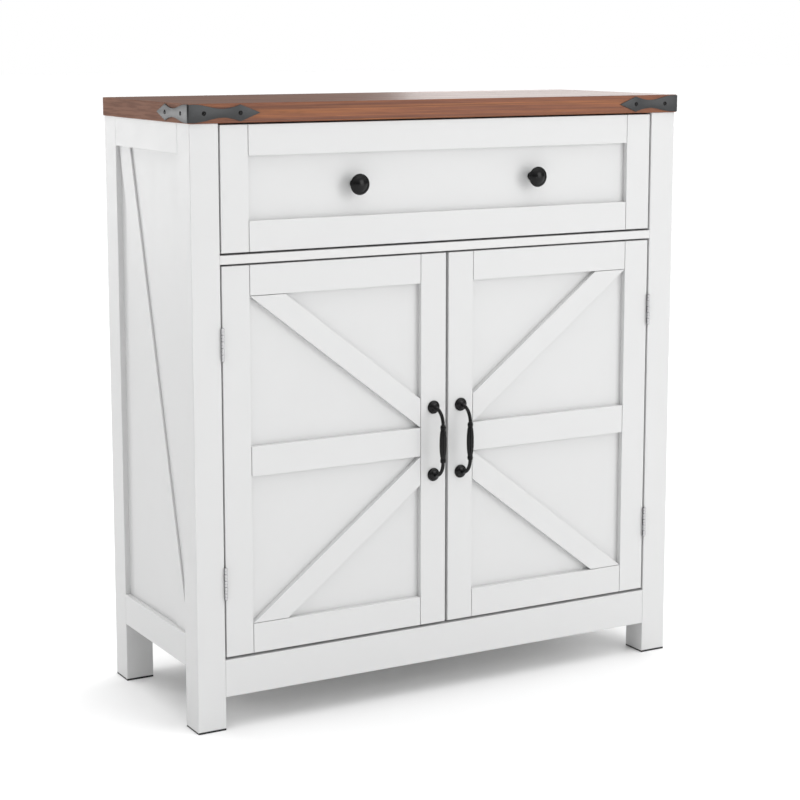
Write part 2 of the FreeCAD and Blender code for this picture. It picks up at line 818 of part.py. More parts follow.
def make_hinges():
    """Two butt hinges a door: three knuckles on the leg, two on the door, one pin through all."""
    frame_leaves = []
    pins = []
    for side_name, side in SIDES.items():
        door_leaves = []
        for end_name, middle in (("low", "hinge_low"), ("top", "hinge_top")):
            low_z = middle + " - barrel_tall / 2"
            tag = "%s_%s" % (side_name, end_name)
            frame_leaves.append(hinge_leaf("frame_leaf_" + tag, side, low_z, (0, 2, 4), True))
            door_leaves.append(hinge_leaf("door_leaf_" + tag, side, low_z, (1, 3), False))
            pins.append(cylinder("hinge_pin_" + tag, "pin_radius", "barrel_tall",
                                 (signed(side, "hinge_x"), "hinge_y", low_z)))
        label = "door_%s_hinge_leaves" % side_name
        node(label, group(label, door_leaves))
    node("hinge_frame_leaves", group("hinge_frame_leaves", frame_leaves))
    node("hinge_pins", group("hinge_pins", pins))


# ---------------------------------------------------------------------------
# Knobs, pulls and their screws
# ---------------------------------------------------------------------------
def cap_bow(reach, rise):
    """The bow of a dome's outline, so that its arc is centred on the axis it turns about."""
    square = "(({0}) ^ 2 + ({1}) ^ 2)".format(reach, rise)
    radius = "({0} / (2 * ({1})))".format(square, rise)
    return "{0} - sqrt({0} ^ 2 - {1} / 4)".format(radius, square)


def make_knob(label, place):
    """A mushroom knob turned about its own Z, which looks out of the drawer front."""
    body = new_body(label)
    bore = "screw_shank"
    face = "knob_head - knob_face_inset"
    corners = [
        (bore, "0", None),
        ("knob_flange", "0", None),
        ("knob_flange", "knob_flange_tall", None),
        ("knob_flange - knob_foot_taper", "knob_foot_tall", None),
        ("knob_neck", "knob_foot_tall", None),
        ("knob_neck", "knob_neck_end", None),
        ("knob_head - knob_rim_round", "knob_under", "knob_rim_round / 2"),
        ("knob_head", "knob_rim", "knob_rim_round"),
        (face, "knob_reach - knob_dome", cap_bow(face, "knob_dome")),
        ("0", "knob_reach", None),
        ("0", "screw_bite + bore_spare", None),
        (bore, "screw_bite + bore_spare", None),
    ]
    turned(body, "XZ_Plane", corners, "V_Axis")
    put(body, place, TO_FRONT)
    return body


def make_machine_screw(label, place, grip):
    """A pan-head screw turned about its own Z: the head behind the wood, the shank through it."""
    body = new_body(label)
    corners = [
        ("0", "-screw_head_tall", cap_bow("screw_head", "screw_head_tall")),
        ("screw_head", "0", None),
        ("screw_shank", "0", None),
        ("screw_shank", "(%s) + screw_bite" % grip, None),
        ("0", "(%s) + screw_bite" % grip, None),
    ]
    turned(body, "XZ_Plane", corners, "V_Axis")
    put(body, place, TO_FRONT)
    return body


def make_knobs():
    """Two knobs on the drawer front, each held by a screw from inside."""
    knobs = []
    screws = []
    for side_name, side in SIDES.items():
        across = signed(side, "knob_spacing / 2")
        knobs.append(make_knob("knob_" + side_name, (across, "backing_face", "drawer_mid")))
        screws.append(make_machine_screw("knob_screw_" + side_name, (across, "front_rear", "drawer_mid"),
                                         "backing_thick"))
    node("knobs", group("knobs", knobs))
    node("knob_screws", group("knob_screws", screws))


def make_pull(name, side):
    """A cast pull: two stepped rosettes, a bent rod and a spindle grip, in one piece."""
    label = "door_%s_pull" % name
    body = new_body(label)
    half = "pull_spacing / 2"
    bend = "pull_rise - rosette_reach + rod_sink"
    path = new_sketch(body, "YZ_Plane")
    rise = value("pull_rise")
    radius = value(bend)
    top = value(half)
    root = value("rosette_reach - rod_sink")
    middle = radius * (1 - 0.5 ** 0.5)
    path.addGeometry(Part.Arc(Vector(-root, top, 0), Vector(-rise + middle, top - middle, 0),
                              Vector(-rise, top - radius, 0)))
    path.addGeometry(Part.LineSegment(Vector(-rise, top - radius, 0), Vector(-rise, radius - top, 0)))
    path.addGeometry(Part.Arc(Vector(-rise, radius - top, 0), Vector(-rise + middle, middle - top, 0),
                              Vector(-root, -top, 0)))
    section = circles(body, "XZ_Plane", [("0", half)], "pull_rod")
    section.setExpression("AttachmentOffset.Base.z", bound("rosette_reach - rod_sink"))
    document.recompute()
    rod = body.newObject("PartDesign::AdditivePipe", label + "_rod")
    rod.Profile = section
    rod.Spine = path
    document.recompute()

    for step in (-1, 1):
        corners = [
            ("0", "0", None),
            ("0", "pull_rosette", None),
            ("-rosette_rim_tall", "pull_rosette", None),
            ("-rosette_step_tall", "pull_rosette - rosette_step", None),
            ("-rosette_step_tall", "pull_rosette - rosette_ledge", "rosette_neck"),
            ("-rosette_dome_tall", "pull_rosette - rosette_dome", "rosette_neck"),
            ("-rosette_reach", "pull_rod + rosette_neck", None),
            ("-rosette_reach", "0", None),
        ]
        rosette = turned(body, "YZ_Plane", corners, "H_Axis")
        rosette.setExpression("AttachmentOffset.Base.y", bound("(%d) * pull_spacing / 2" % step))
        document.recompute()

    end = "grip_long / 2"
    corners = [
        ("0", "-(%s)" % end, None),
        ("collar_radius", "-(%s)" % end, None),
        ("collar_radius", "collar_tall - (%s)" % end, None),
        ("grip_end", "collar_tall - (%s)" % end, "grip_radius - grip_end"),
        ("grip_end", "(%s) - collar_tall" % end, None),
        ("collar_radius", "(%s) - collar_tall" % end, None),
        ("collar_radius", end, None),
        ("0", end, None),
    ]
    grip = turned(body, "YZ_Plane", corners, "V_Axis")
    grip.setExpression("AttachmentOffset.Base.x", bound("-pull_rise"))
    document.recompute()
    bores = circles(body, "XZ_Plane", [("0", half), ("0", "-(%s)" % half)], "screw_shank")
    pocket(body, bores, "screw_bite", forward=False)
    put(body, (signed(side, "stile_middle"), "strip_face", "door_mid"))
    node(label, body)

    screws = []
    for end_name, step in (("low", -1), ("top", 1)):
        screws.append(make_machine_screw("%s_screw_%s" % (label, end_name),
                                         (signed(side, "stile_middle"), "front_rear",
                                          "door_mid + (%d) * pull_spacing / 2" % step),
                                         "backing_thick + strip_thick"))
    node(label + "_screws", group(label + "_screws", screws))


# ---------------------------------------------------------------------------
# Corner brackets
# ---------------------------------------------------------------------------
def strap_half(sign):
    """The points of one long edge of an arm, from the corner to the tip, up or down."""
    return [
        ("0", signed(sign, "strap_tall / 2")),
        ("strap_square", signed(sign, "strap_tall / 2")),
        ("strap_waist_at", signed(sign, "strap_waist / 2")),
        ("strap_lobe_at", signed(sign, "strap_lobe / 2")),
    ]


def make_bracket(name, side):
    """A strap bent round a front corner of the top, with a spear point on each arm."""
    label = "corner_bracket_" + name
    body = new_body(label)
    points = strap_half(-1) + [("strap_long", "0")] + list(reversed(strap_half(1)))
    bows = [None, "-strap_hollow", "-strap_hollow", None, None, "-strap_hollow", "-strap_hollow", None, None]
    ring = [(across, up, bow) for (across, up), bow in zip(points, bows)]
    front = [(signed(-side, "(%s) - strap_thick" % across if across == "0" else across), up,
              bow if side < 0 or bow is None else "strap_hollow") for across, up, bow in ring]
    pad(body, outline(body, "XZ_Plane", front), "strap_thick")
    arms = pad(body, outline(body, "YZ_Plane", ring), "strap_thick", forward=side > 0)
    rounding = body.newObject("PartDesign::Fillet", label + "_bend")
    rounding.Base = (arms, edges_at_corner(arms, side))
    bind(rounding, "Radius", "strap_corner")
    document.recompute()
    reach = ("strap_screw_near", "strap_screw_far")
    front_holes = [(signed(-side, across), "0") for across in reach]
    side_holes = [(across, "0") for across in reach]
    pocket(body, circles(body, "XZ_Plane", front_holes, "wood_screw_radius"), "strap_thick", forward=False)
    pocket(body, circles(body, "YZ_Plane", side_holes, "wood_screw_radius"), "strap_thick",
           forward=side < 0)
    put(body, (signed(side, "top_half"), "top_front", "strap_mid"))
    node(label, body)


def edges_at_corner(arms, side):
    """The upright outer edge of the strap's bend."""
    names = []
    for index, edge in enumerate(arms.Shape.Edges, start=1):
        middle = edge.BoundBox.Center
        thick = value("strap_thick")
        if abs(middle.x - side * thick) < 1e-6 and abs(middle.y + thick) < 1e-6:
            names.append("Edge%d" % index)
    return names


def make_bracket_screws():
    """Four dome-head screws a bracket, driven into the top's edges."""
    screws = []
    for side_name, side in SIDES.items():
        for place_name, along in (("near", "strap_screw_near"), ("far", "strap_screw_far")):
            front_place = (signed(side, "top_half - " + along), "top_front - strap_thick", "strap_mid")
            side_place = (signed(side, "top_half + strap_thick"), "top_front + " + along, "strap_mid")
            turn_out = Rotation(Vector(0, 1, 0), 90 * side)
            for face_name, place, turn in (("front", front_place, TO_FRONT), ("side", side_place, turn_out)):
                body = new_body("bracket_screw_%s_%s_%s" % (side_name, face_name, place_name))
                corners = [
                    ("0", "strap_screw_reach", None),
                    ("0", "-wood_screw_long", None),
                    ("wood_screw_radius", "wood_screw_point - wood_screw_long", None),
                    ("wood_screw_radius", "0", None),
                    ("strap_screw_radius", "0", cap_bow("strap_screw_radius", "strap_screw_reach")),
                ]
                turned(body, "XZ_Plane", corners, "V_Axis")
                put(body, place, turn)
                screws.append(body)
    node("bracket_screws", group("bracket_screws", screws))


# ---------------------------------------------------------------------------
# Door catch
# ---------------------------------------------------------------------------
def make_catch():
    """A double magnetic catch under the deck, and a strike plate on each door."""
    catch_front = "front_rear + strike_thick + catch_gap"
    node("magnetic_catch", board("magnetic_catch", ("-catch_wide / 2", catch_front, "deck_low - catch_tall"),
                                 ("catch_wide", "catch_deep", "catch_tall"), (FRONT,)))
    for side_name, side in SIDES.items():
        label = "door_%s_strike_plate" % side_name
        item = board(label, (mirrored_low(side, "door_inner + strike_inset", "strike_wide"), "front_rear",
                             "door_top - strike_tall"), ("strike_wide", "strike_thick", "strike_tall"))
        node(label, item)


# ---------------------------------------------------------------------------
# Build, check and write
# ---------------------------------------------------------------------------
def check_document():
    """Stop if any object failed to compute or any part has no valid shape."""
    document.recompute()
    for item in document.Objects:
        if "Invalid" in item.State or "Error" in item.State:
            raise RuntimeError("%s failed: %s" % (item.Label, item.State))
    for label, item in NODES.items():
        if item.Shape.isNull() or not item.Shape.isValid():
            raise RuntimeError("%s has no valid shape" % label)


def write_parts():
    """Write each part's shape to its own STEP file."""
    os.makedirs("parts", exist_ok=True)
    for label, item in NODES.items():
        item.Shape.exportStep("parts/%s.step" % label)
        print("%-28s %d solid(s) %12.1f mm3" % (label, len(item.Shape.Solids), item.Shape.Volume))
    print("%d nodes" % len(NODES))


make_top()
make_legs()
make_carcass()
make_drawer_front()
make_drawer_box()
make_slides()
make_hinges()
make_knobs()
make_bracket_screws()
make_catch()
make_shelf_pegs()
for door_name, door_side in SIDES.items():
    make_side(door_name, door_side)
    make_door(door_name, door_side)
    make_pull(door_name, door_side)
    make_bracket(door_name, door_side)
check_document()
write_parts()
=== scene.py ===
"""Looks of a farmhouse sideboard: painted boards, walnut top, cast hardware and steel fittings.

Every length is in metres. The cabinet stands on z = 0, faces -Y and is as wide as X.
"""
import json
import logging
import math
from dataclasses import dataclass
from enum import Enum
from typing import Callable, Sequence

import bmesh
import bpy
from mathutils import Matrix, Vector


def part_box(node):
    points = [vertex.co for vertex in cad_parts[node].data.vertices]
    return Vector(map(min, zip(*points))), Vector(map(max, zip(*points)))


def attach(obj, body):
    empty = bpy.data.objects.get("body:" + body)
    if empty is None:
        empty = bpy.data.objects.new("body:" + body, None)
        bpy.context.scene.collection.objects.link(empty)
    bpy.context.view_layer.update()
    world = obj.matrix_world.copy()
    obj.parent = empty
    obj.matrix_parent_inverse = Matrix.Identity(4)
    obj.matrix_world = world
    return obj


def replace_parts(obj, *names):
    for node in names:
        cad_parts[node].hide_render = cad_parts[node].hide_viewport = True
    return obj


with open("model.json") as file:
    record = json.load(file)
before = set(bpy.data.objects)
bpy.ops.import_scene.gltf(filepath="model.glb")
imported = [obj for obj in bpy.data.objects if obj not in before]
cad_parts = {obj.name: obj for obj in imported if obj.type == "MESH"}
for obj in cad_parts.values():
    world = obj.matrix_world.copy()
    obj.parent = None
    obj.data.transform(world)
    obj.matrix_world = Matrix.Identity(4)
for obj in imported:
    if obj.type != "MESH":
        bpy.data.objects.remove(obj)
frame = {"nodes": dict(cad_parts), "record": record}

log = logging.getLogger("sideboard")
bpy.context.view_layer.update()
MM = 0.001
MERGE = 1e-7  # points nearer than this are one point
SOFT_EDGE = 40.0  # edges that turn less than this many degrees are shaded smooth
CRISP_EDGE = 30.0
CAST_EDGE = 50.0
WHITE = (1.0, 1.0, 1.0)

Mesh = bmesh.types.BMesh
Socket = bpy.types.NodeSocket
Group = bpy.types.NodeTree
Point = tuple[float, float]
Triple = tuple[float, float, float]


class Side(Enum):
    """A side of the cabinet, as the sign of its X."""

    LEFT = -1
    RIGHT = 1

    @property
    def label(self) -> str:
        """The side's name as the frame's nodes use it."""
        return self.name.lower()

    @property
    def door(self) -> str:
        """The body name of the door on this side."""
        return f"door_{self.label}"

    @property
    def other(self) -> "Side":
        """The opposite side."""
        return Side(-self.value)

    @property
    def outward(self) -> "Facing":
        """The way out of the cabinet on this side."""
        return Facing[self.name]


class Facing(Enum):
    """The ways that a fitting can look, as right angles about an axis."""

    FRONT = (1, "X")
    BACK = (-1, "X")
    LEFT = (-1, "Y")
    RIGHT = (1, "Y")

    def at(self, place: Sequence[float]) -> Matrix:
        """A place whose own Z looks this way."""
        turns, axis = self.value
        return Matrix.Translation(place) @ Matrix.Rotation(math.radians(90 * turns), 4, axis)


# ---- Outlines and meshes ----
def arc(centre: Point, radius: float, start: float, end: float, steps: int) -> list[Point]:
    """Points along an arc in a plane.

    Args:
        centre: The arc's centre.
        radius: Its radius.
        start: First angle in degrees.
        end: Last angle in degrees.
        steps: Number of chords.

    Returns:
        steps + 1 points, both ends included.
    """
    turns = [math.radians(start + (end - start) * index / steps) for index in range(steps + 1)]
    return [(centre[0] + radius * math.cos(turn), centre[1] + radius * math.sin(turn))
            for turn in turns]


def dome(radius: float, rise: float, top: float, steps: int) -> list[Point]:
    """The outline of a shallow dome, from its rim up to its pole.

    Args:
        radius: The dome's radius at its rim.
        rise: How far the pole stands above the rim.
        top: The height of the pole.
        steps: Number of chords.

    Returns:
        Its points, the last one on the axis.
    """
    curve = (radius ** 2 + rise ** 2) / (2 * rise)
    half = math.degrees(math.asin(radius / curve))
    return arc((0.0, top - curve), curve, 90 - half, 90, steps)[:-1] + [(0.0, top)]


@dataclass(frozen=True)
class Bead:
    """A rounded step of a turned outline, in millimetres and degrees."""

    across: float
    up: float
    radius: float
    start: float
    end: float
    steps: int

    def points(self) -> list[Point]:
        """The step's outline in metres."""
        return arc((self.across * MM, self.up * MM), self.radius * MM, self.start, self.end, self.steps)


def turned(profile: Sequence[Point], steps: int = 40, hollow: bool = False) -> Mesh:
    """Turn a (radius, height) profile about Z, as on a lathe.

    Args:
        profile: Radius and height of each point. Points at radius 0 close the ends.
        steps: Number of facets round the axis.
        hollow: Whether the profile is a closed ring clear of the axis.

    Returns:
        A closed mesh with its normals outwards.
    """
    shape = bmesh.new()
    points = [shape.verts.new((radius, 0.0, height)) for radius, height in profile]
    ends = points[1:] + points[:1] if hollow else points[1:]
    edges = [shape.edges.new(pair) for pair in zip(points, ends)]
    bmesh.ops.spin(shape, geom=points + edges, cent=(0, 0, 0), axis=(0, 0, 1), angle=math.tau,
                   steps=steps, use_merge=True)
    bmesh.ops.remove_doubles(shape, verts=shape.verts, dist=MERGE)
    bmesh.ops.recalc_face_normals(shape, faces=shape.faces)
    return shape


def eased(shape: Mesh, edges: list[bmesh.types.BMEdge], width: float, segments: int = 2) -> None:
    """Round some edges of a mesh.

    Args:
        shape: The mesh.
        edges: Its edges that are rounded.
        width: How wide the rounding is.
        segments: How many facets it has.
    """
    bmesh.ops.bevel(shape, geom=edges, offset=width, affect="EDGES", segments=segments, profile=0.5,
                    material=-1)


def slab(size: Triple, centre: Vector, ease: float = 0.0) -> Mesh:
    """A block.

    Args:
        size: Its three sizes.
        centre: Its centre.
        ease: The width of its rounded edges, or 0 to leave them sharp.

    Returns:
        The mesh of the block.
    """
    shape = bmesh.new()
    bmesh.ops.create_cube(shape, size=1.0)
    bmesh.ops.scale(shape, vec=size, verts=shape.verts)
    if ease > 0.0:
        eased(shape, shape.edges[:], ease)
    bmesh.ops.translate(shape, vec=centre, verts=shape.verts)
    return shape


def cut(shape: Mesh, place: Triple, normal: Triple) -> None:
    """Cut a mesh's faces along a plane, and keep both sides.

    Args:
        shape: The mesh.
        place: A point of the plane.
        normal: The plane's normal.
    """
    everything = shape.verts[:] + shape.edges[:] + shape.faces[:]
    bmesh.ops.bisect_plane(shape, geom=everything, dist=MERGE, plane_co=place, plane_no=normal)


def join(target: Mesh, part: Mesh, place: Matrix = Matrix()) -> None:
    """Move a mesh to its place and add it to another, then free it.

    Args:
        target: The mesh that grows.
        part: The mesh that is added.
        place: Where it goes.
    """
    bmesh.ops.transform(part, matrix=place, verts=part.verts)
    spare = bpy.data.meshes.new("spare")
    part.to_mesh(spare)
    target.from_mesh(spare)
    bpy.data.meshes.remove(spare)
    part.free()


def linked(name: str, data: bpy.types.ID) -> bpy.types.Object:
    """Put an object in the scene.

    Args:
        name: Its name.
        data: Its mesh, light or camera data.

    Returns:
        The object.
    """
    made = bpy.data.objects.new(name, data)
    bpy.context.scene.collection.objects.link(made)
    return made


# ---- Shader node groups ----
class Kind(Enum):
    """The kinds of socket that an effect has."""

    NUMBER = "NodeSocketFloat"
    COLOUR = "NodeSocketColor"
    VECTOR = "NodeSocketVector"


class Wiring:
    """Short ways to add and link nodes in one node tree."""

    def __init__(self, tree: Group) -> None:
        """Keep the tree that nodes are added to."""
        self.tree = tree

    def node(self, kind: str, sources: dict[object, object], **settings: object) -> bpy.types.Node:
        """Add a node and fill its inputs.

        Args:
            kind: Its type.
            sources: What each input takes, by its name or number: an output to link, or a value.
            settings: Its properties.

        Returns:
            The node.
        """
        made = self.tree.nodes.new(kind)
        for key, setting in settings.items():
            setattr(made, key, setting)
        for key, source in sources.items():
            socket = made.inputs[key]
            if isinstance(source, Socket):
                self.tree.links.new(source, socket)
            else:
                socket.default_value = (*source, 1.0) if socket.type == "RGBA" else source
        return made

    def math(self, operation: str, *sources: object) -> Socket:
        """The result of a math node."""
        return self.node("ShaderNodeMath", dict(enumerate(sources)), operation=operation).outputs[0]

    def stretched(self, where: Socket, scales: object) -> Socket:
        """A point with each of its parts scaled."""
        return self.node("ShaderNodeVectorMath", {0: where, 1: scales}, operation="MULTIPLY").outputs[0]

    def scaled(self, colour: object, factor: object) -> Socket:
        """A colour made lighter or darker."""
        return self.node("ShaderNodeVectorMath", {0: colour, "Scale": factor}, operation="SCALE").outputs[0]

    def split(self, where: object) -> bpy.types.NodeOutputs:
        """The three parts of a vector."""
        return self.node("ShaderNodeSeparateXYZ", {0: where}).outputs

    def noise(self, where: object, scale: float, detail: float = 2.0, rough: float = 0.5) -> Socket:
        """A noise texture.

        Args:
            where: The point that it is read at.
            scale: Its patches per metre.
            detail: Its octaves.
            rough: How much the finer octaves add.

        Returns:
            Its factor, about 0.5 on average.
        """
        return self.node("ShaderNodeTexNoise", {"Vector": where, "Scale": scale, "Detail": detail,
                                                "Roughness": rough}).outputs["Fac"]

    def spread(self, source: object, low: float, high: float, out_low: object = 0.0,
               out_high: object = 1.0) -> Socket:
        """Map one range of values to another, clamped and eased.

        Args:
            source: The value.
            low: Where the range starts.
            high: Where it ends.
            out_low: What its start becomes.
            out_high: What its end becomes.

        Returns:
            The mapped value.
        """
        ends = {"Value": source, "From Min": low, "From Max": high, "To Min": out_low, "To Max": out_high}
        return self.node("ShaderNodeMapRange", ends, interpolation_type="SMOOTHSTEP",
                         clamp=True).outputs["Result"]

    def about(self, noise: Socket, amount: object, base: object) -> Socket:
        """A value that a noise moves up and down by an amount about its base."""
        return self.math("MULTIPLY_ADD", self.math("SUBTRACT", noise, 0.5), amount, base)

    def mix(self, share: object, first: object, second: object) -> Socket:
        """A share of the second colour over the first."""
        return self.node("ShaderNodeMix", {0: share, 6: first, 7: second}, data_type="RGBA").outputs[2]


class Effect(Wiring):
    """A shader node group that gives a surface its colour, its roughness and its relief."""

    def __init__(self, name: str, **inputs: Kind) -> None:
        """Start the group.

        Args:
            name: Its name.
            inputs: The kind of each input besides the position.
        """
        super().__init__(bpy.data.node_groups.new(name, "ShaderNodeTree"))
        given = {"Vector": Kind.VECTOR, **inputs}
        made = {"Color": Kind.COLOUR, "Roughness": Kind.NUMBER, "Height": Kind.NUMBER}
        for direction, wanted in (("INPUT", given), ("OUTPUT", made)):
            for label, kind in wanted.items():
                self.tree.interface.new_socket(label, in_out=direction, socket_type=kind.value)
        self.given = self.node("NodeGroupInput", {}).outputs

    def done(self, colour: Socket, roughness: Socket, height: Socket) -> Group:
        """Wire the outputs, and return the finished group."""
        self.node("NodeGroupOutput", {"Color": colour, "Roughness": roughness, "Height": height})
        return self.tree


def sprayed_film_group() -> Group:
    """Sprayed satin paint: a faint cloud of tone, an uneven sheen and fine orange peel.

    Returns:
        The group. Cloud is the spread of its tone, and Peel the strength of its relief.
    """
    net = Effect("sprayed_film", Color=Kind.COLOUR, Cloud=Kind.NUMBER, Sheen=Kind.NUMBER,
                 Peel=Kind.NUMBER)
    where = net.given["Vector"]
    tone = net.about(net.noise(where, 5.0, detail=3.0, rough=0.55), net.given["Cloud"], 1.0)
    sheen = net.about(net.noise(where, 38.0, rough=0.6), 0.12, net.given["Sheen"])
    peel = net.noise(where, 420.0)
    brush = net.noise(net.stretched(where, (1.0, 1.0, 0.08)), 260.0, detail=1.0)
    relief = net.math("MULTIPLY", net.math("MULTIPLY_ADD", brush, 0.4, peel), net.given["Peel"])
    return net.done(net.scaled(net.given["Color"], tone), sheen, relief)


# Patches per metre along, across and up the board, then the octaves and how much the finer add.
FIGURE: dict[str, tuple[Triple, float, float]] = {
    "sway": ((1.6, 9.0, 9.0), 2.0, 0.5),
    "ripple": ((4.0, 50.0, 50.0), 2.0, 0.5),
    "band": ((1.3, 30.0, 70.0), 2.0, 0.5),
    "board": ((2.4, 60.0, 210.0), 3.0, 0.6),
    "streak": ((3.2, 420.0, 640.0), 3.0, 0.6),
    "vein": ((1.7, 240.0, 430.0), 2.0, 0.5),
    "end_line": ((1.0, 14.0, 260.0), 3.0, 0.6),
    "pore": ((45.0, 1300.0, 1300.0), 1.0, 0.5),
}
HEART_HEIGHT = 0.775
HEART_SLANT = -0.05
SWAY_REACH = 0.030
RIPPLE_REACH = 0.0022


def growth_rings(net: Effect, sway: Socket, ripple: Socket) -> Socket:
    """Rings about a heart that lies below the board and slants across it.

    Args:
        net: The effect that they are part of.
        sway: A broad noise that bends them.
        ripple: A finer one.

    Returns:
        A mask that rises through each ring and falls at its end.
    """
    place = net.split(net.given["Vector"])
    across = net.math("MULTIPLY_ADD", place[0], HEART_SLANT, place[1])
    above = net.math("SUBTRACT", place[2], HEART_HEIGHT)
    squares = net.math("ADD", net.math("MULTIPLY", across, across), net.math("MULTIPLY", above, above))
    swayed = net.math("MULTIPLY_ADD", sway, SWAY_REACH, net.math("SQRT", squares))
    bent = net.math("MULTIPLY_ADD", ripple, RIPPLE_REACH, swayed)
    phase = net.math("FRACT", net.math("DIVIDE", bent, net.given["Ring"]))
    return net.math("MULTIPLY", net.spread(phase, 0.15, 0.85), net.spread(phase, 0.9, 1.0, 1.0, 0.0))


def walnut_group() -> Group:
    """Walnut sawn along X: broad bands, growth rings about a buried heart, dark streaks and pores.

    Returns:
        The group. The top-shade input darkens the upward face: a painted shade that tones down the bright
        light falling on the top from above.
    """
    net = Effect("walnut", Normal=Kind.VECTOR, Light=Kind.COLOUR, Middle=Kind.COLOUR, Dark=Kind.COLOUR,
                 End=Kind.COLOUR, Ring=Kind.NUMBER, Upper=Kind.NUMBER, Sheen=Kind.NUMBER)
    given = net.given
    facing = net.split(given["Normal"])
    end_grain = net.spread(net.math("ABSOLUTE", facing[0]), 0.6, 0.8)
    long_grain = net.math("SUBTRACT", 1.0, end_grain)
    upward = net.spread(facing[2], 0.6, 0.9)
    grain = {name: net.noise(net.stretched(given["Vector"], scales), 1.0, detail, rough)
             for name, (scales, detail, rough) in FIGURE.items()}
    pore = net.spread(grain["pore"], 0.58, 0.70)
    plain = net.mix(net.spread(grain["board"], 0.32, 0.66), given["Light"], given["Middle"])
    toned = net.mix(end_grain, plain, given["End"])
    for mask, share, within in (
        (net.spread(grain["band"], 0.44, 0.62), 0.24, long_grain),
        (growth_rings(net, grain["sway"], grain["ripple"]), 0.14, long_grain),
        (net.spread(grain["streak"], 0.40, 0.68), 0.45, long_grain),
        (net.spread(grain["vein"], 0.53, 0.66), 0.52, long_grain),
        (net.spread(grain["end_line"], 0.40, 0.66), 0.45, end_grain),
        (pore, 0.20, long_grain),
    ):
        darkened = net.math("MULTIPLY", net.math("MULTIPLY", mask, share), within)
        toned = net.mix(darkened, toned, given["Dark"])
    # Painted shade: the upward face is darkened to tone down the light that falls on it from above.
    shaded = net.scaled(toned, net.spread(upward, 0.0, 1.0, 1.0, given["Upper"]))
    gloss = net.about(grain["band"], 0.16, given["Sheen"])
    dull_end = net.math("MULTIPLY_ADD", end_grain, 0.45, gloss)
    relief = net.math("SUBTRACT", net.math("MULTIPLY", grain["streak"], 0.5), pore)
    return net.done(shaded, net.math("MULTIPLY_ADD", pore, 0.10, dull_end), relief)


def coated_metal_group() -> Group:
    """Powder-coated or blackened metal: fine pebbling, soft mottling and rubbed high spots.

    Returns:
        The group. Rub is how much of the Rubbed colour shows.
    """
    net = Effect("coated_metal", Color=Kind.COLOUR, Rubbed=Kind.COLOUR, Rub=Kind.NUMBER,
                 Sheen=Kind.NUMBER)
    where = net.given["Vector"]
    mottle = net.noise(where, 120.0, detail=3.0, rough=0.6)
    pebble = net.noise(where, 1500.0)
    worn = net.math("MULTIPLY", net.spread(mottle, 0.45, 0.75), net.given["Rub"])
    return net.done(net.mix(worn, net.given["Color"], net.given["Rubbed"]),
                    net.about(mottle, 0.12, net.given["Sheen"]),
                    net.math("MULTIPLY_ADD", mottle, 0.6, pebble))


def drawn_steel_group() -> Group:
    """Plated steel: fine lines along its length and a cloudy plating.

    Returns:
        The group. Grain is the lines per metre in each direction.
    """
    net = Effect("drawn_steel", Grain=Kind.VECTOR, Color=Kind.COLOUR, Sheen=Kind.NUMBER)
    where = net.given["Vector"]
    lines = net.noise(net.stretched(where, net.given["Grain"]), 1.0, rough=0.6)
    tone = net.about(net.noise(where, 55.0, detail=3.0, rough=0.6), 0.22, 1.0)
    return net.done(net.scaled(net.given["Color"], tone), net.about(lines, 0.25, net.given["Sheen"]),
                    lines)


# ---- Finishes ----
class Surface(Enum):
    """The effects that a finish can be made of."""

    SPRAYED_FILM = "sprayed_film"
    WALNUT = "walnut"
    COATED_METAL = "coated_metal"
    DRAWN_STEEL = "drawn_steel"


BUILDERS: dict[Surface, Callable[[], Group]] = {
    Surface.SPRAYED_FILM: sprayed_film_group,
    Surface.WALNUT: walnut_group,
    Surface.COATED_METAL: coated_metal_group,
    Surface.DRAWN_STEEL: drawn_steel_group,
}


@dataclass(frozen=True)
class Finish:
    """A material for one slot: a surface effect with its own values, and the shader's fixed ones."""

    name: str
    slot: str
    values: dict[str, float | Triple]
    surface: Surface = Surface.SPRAYED_FILM
    metallic: float = 0.0
    specular: float = 0.5
    bump: float = 0.12
    bump_distance: float = 0.2 * MM

    def material(self) -> bpy.types.Material:
        """Build the material.

        Returns:
            The material, which is built only once.
        """
        if self.name in bpy.data.materials:
            return bpy.data.materials[self.name]
        made = bpy.data.materials.new(self.name)
        made.use_nodes = True
        made.node_tree.nodes.clear()
        wiring = Wiring(made.node_tree)
        tree = bpy.data.node_groups.get(self.surface.value) or BUILDERS[self.surface]()
        place = wiring.node("ShaderNodeTexCoord", {}).outputs
        sources = {"Vector": place["Object"], **self.values}
        if self.surface is Surface.WALNUT:
            sources["Normal"] = place["Normal"]
        effect = wiring.node("ShaderNodeGroup", sources, node_tree=tree).outputs
        relief = wiring.node("ShaderNodeBump", {"Strength": self.bump, "Distance": self.bump_distance,
                                                "Height": effect["Height"]})
        shader = wiring.node("ShaderNodeBsdfPrincipled", {
            "Base Color": effect["Color"], "Roughness": effect["Roughness"],
            "Normal": relief.outputs["Normal"], "Metallic": self.metallic,
            "Specular IOR Level": self.specular})
        wiring.node("ShaderNodeOutputMaterial", {"Surface": shader.outputs["BSDF"]})
        return made


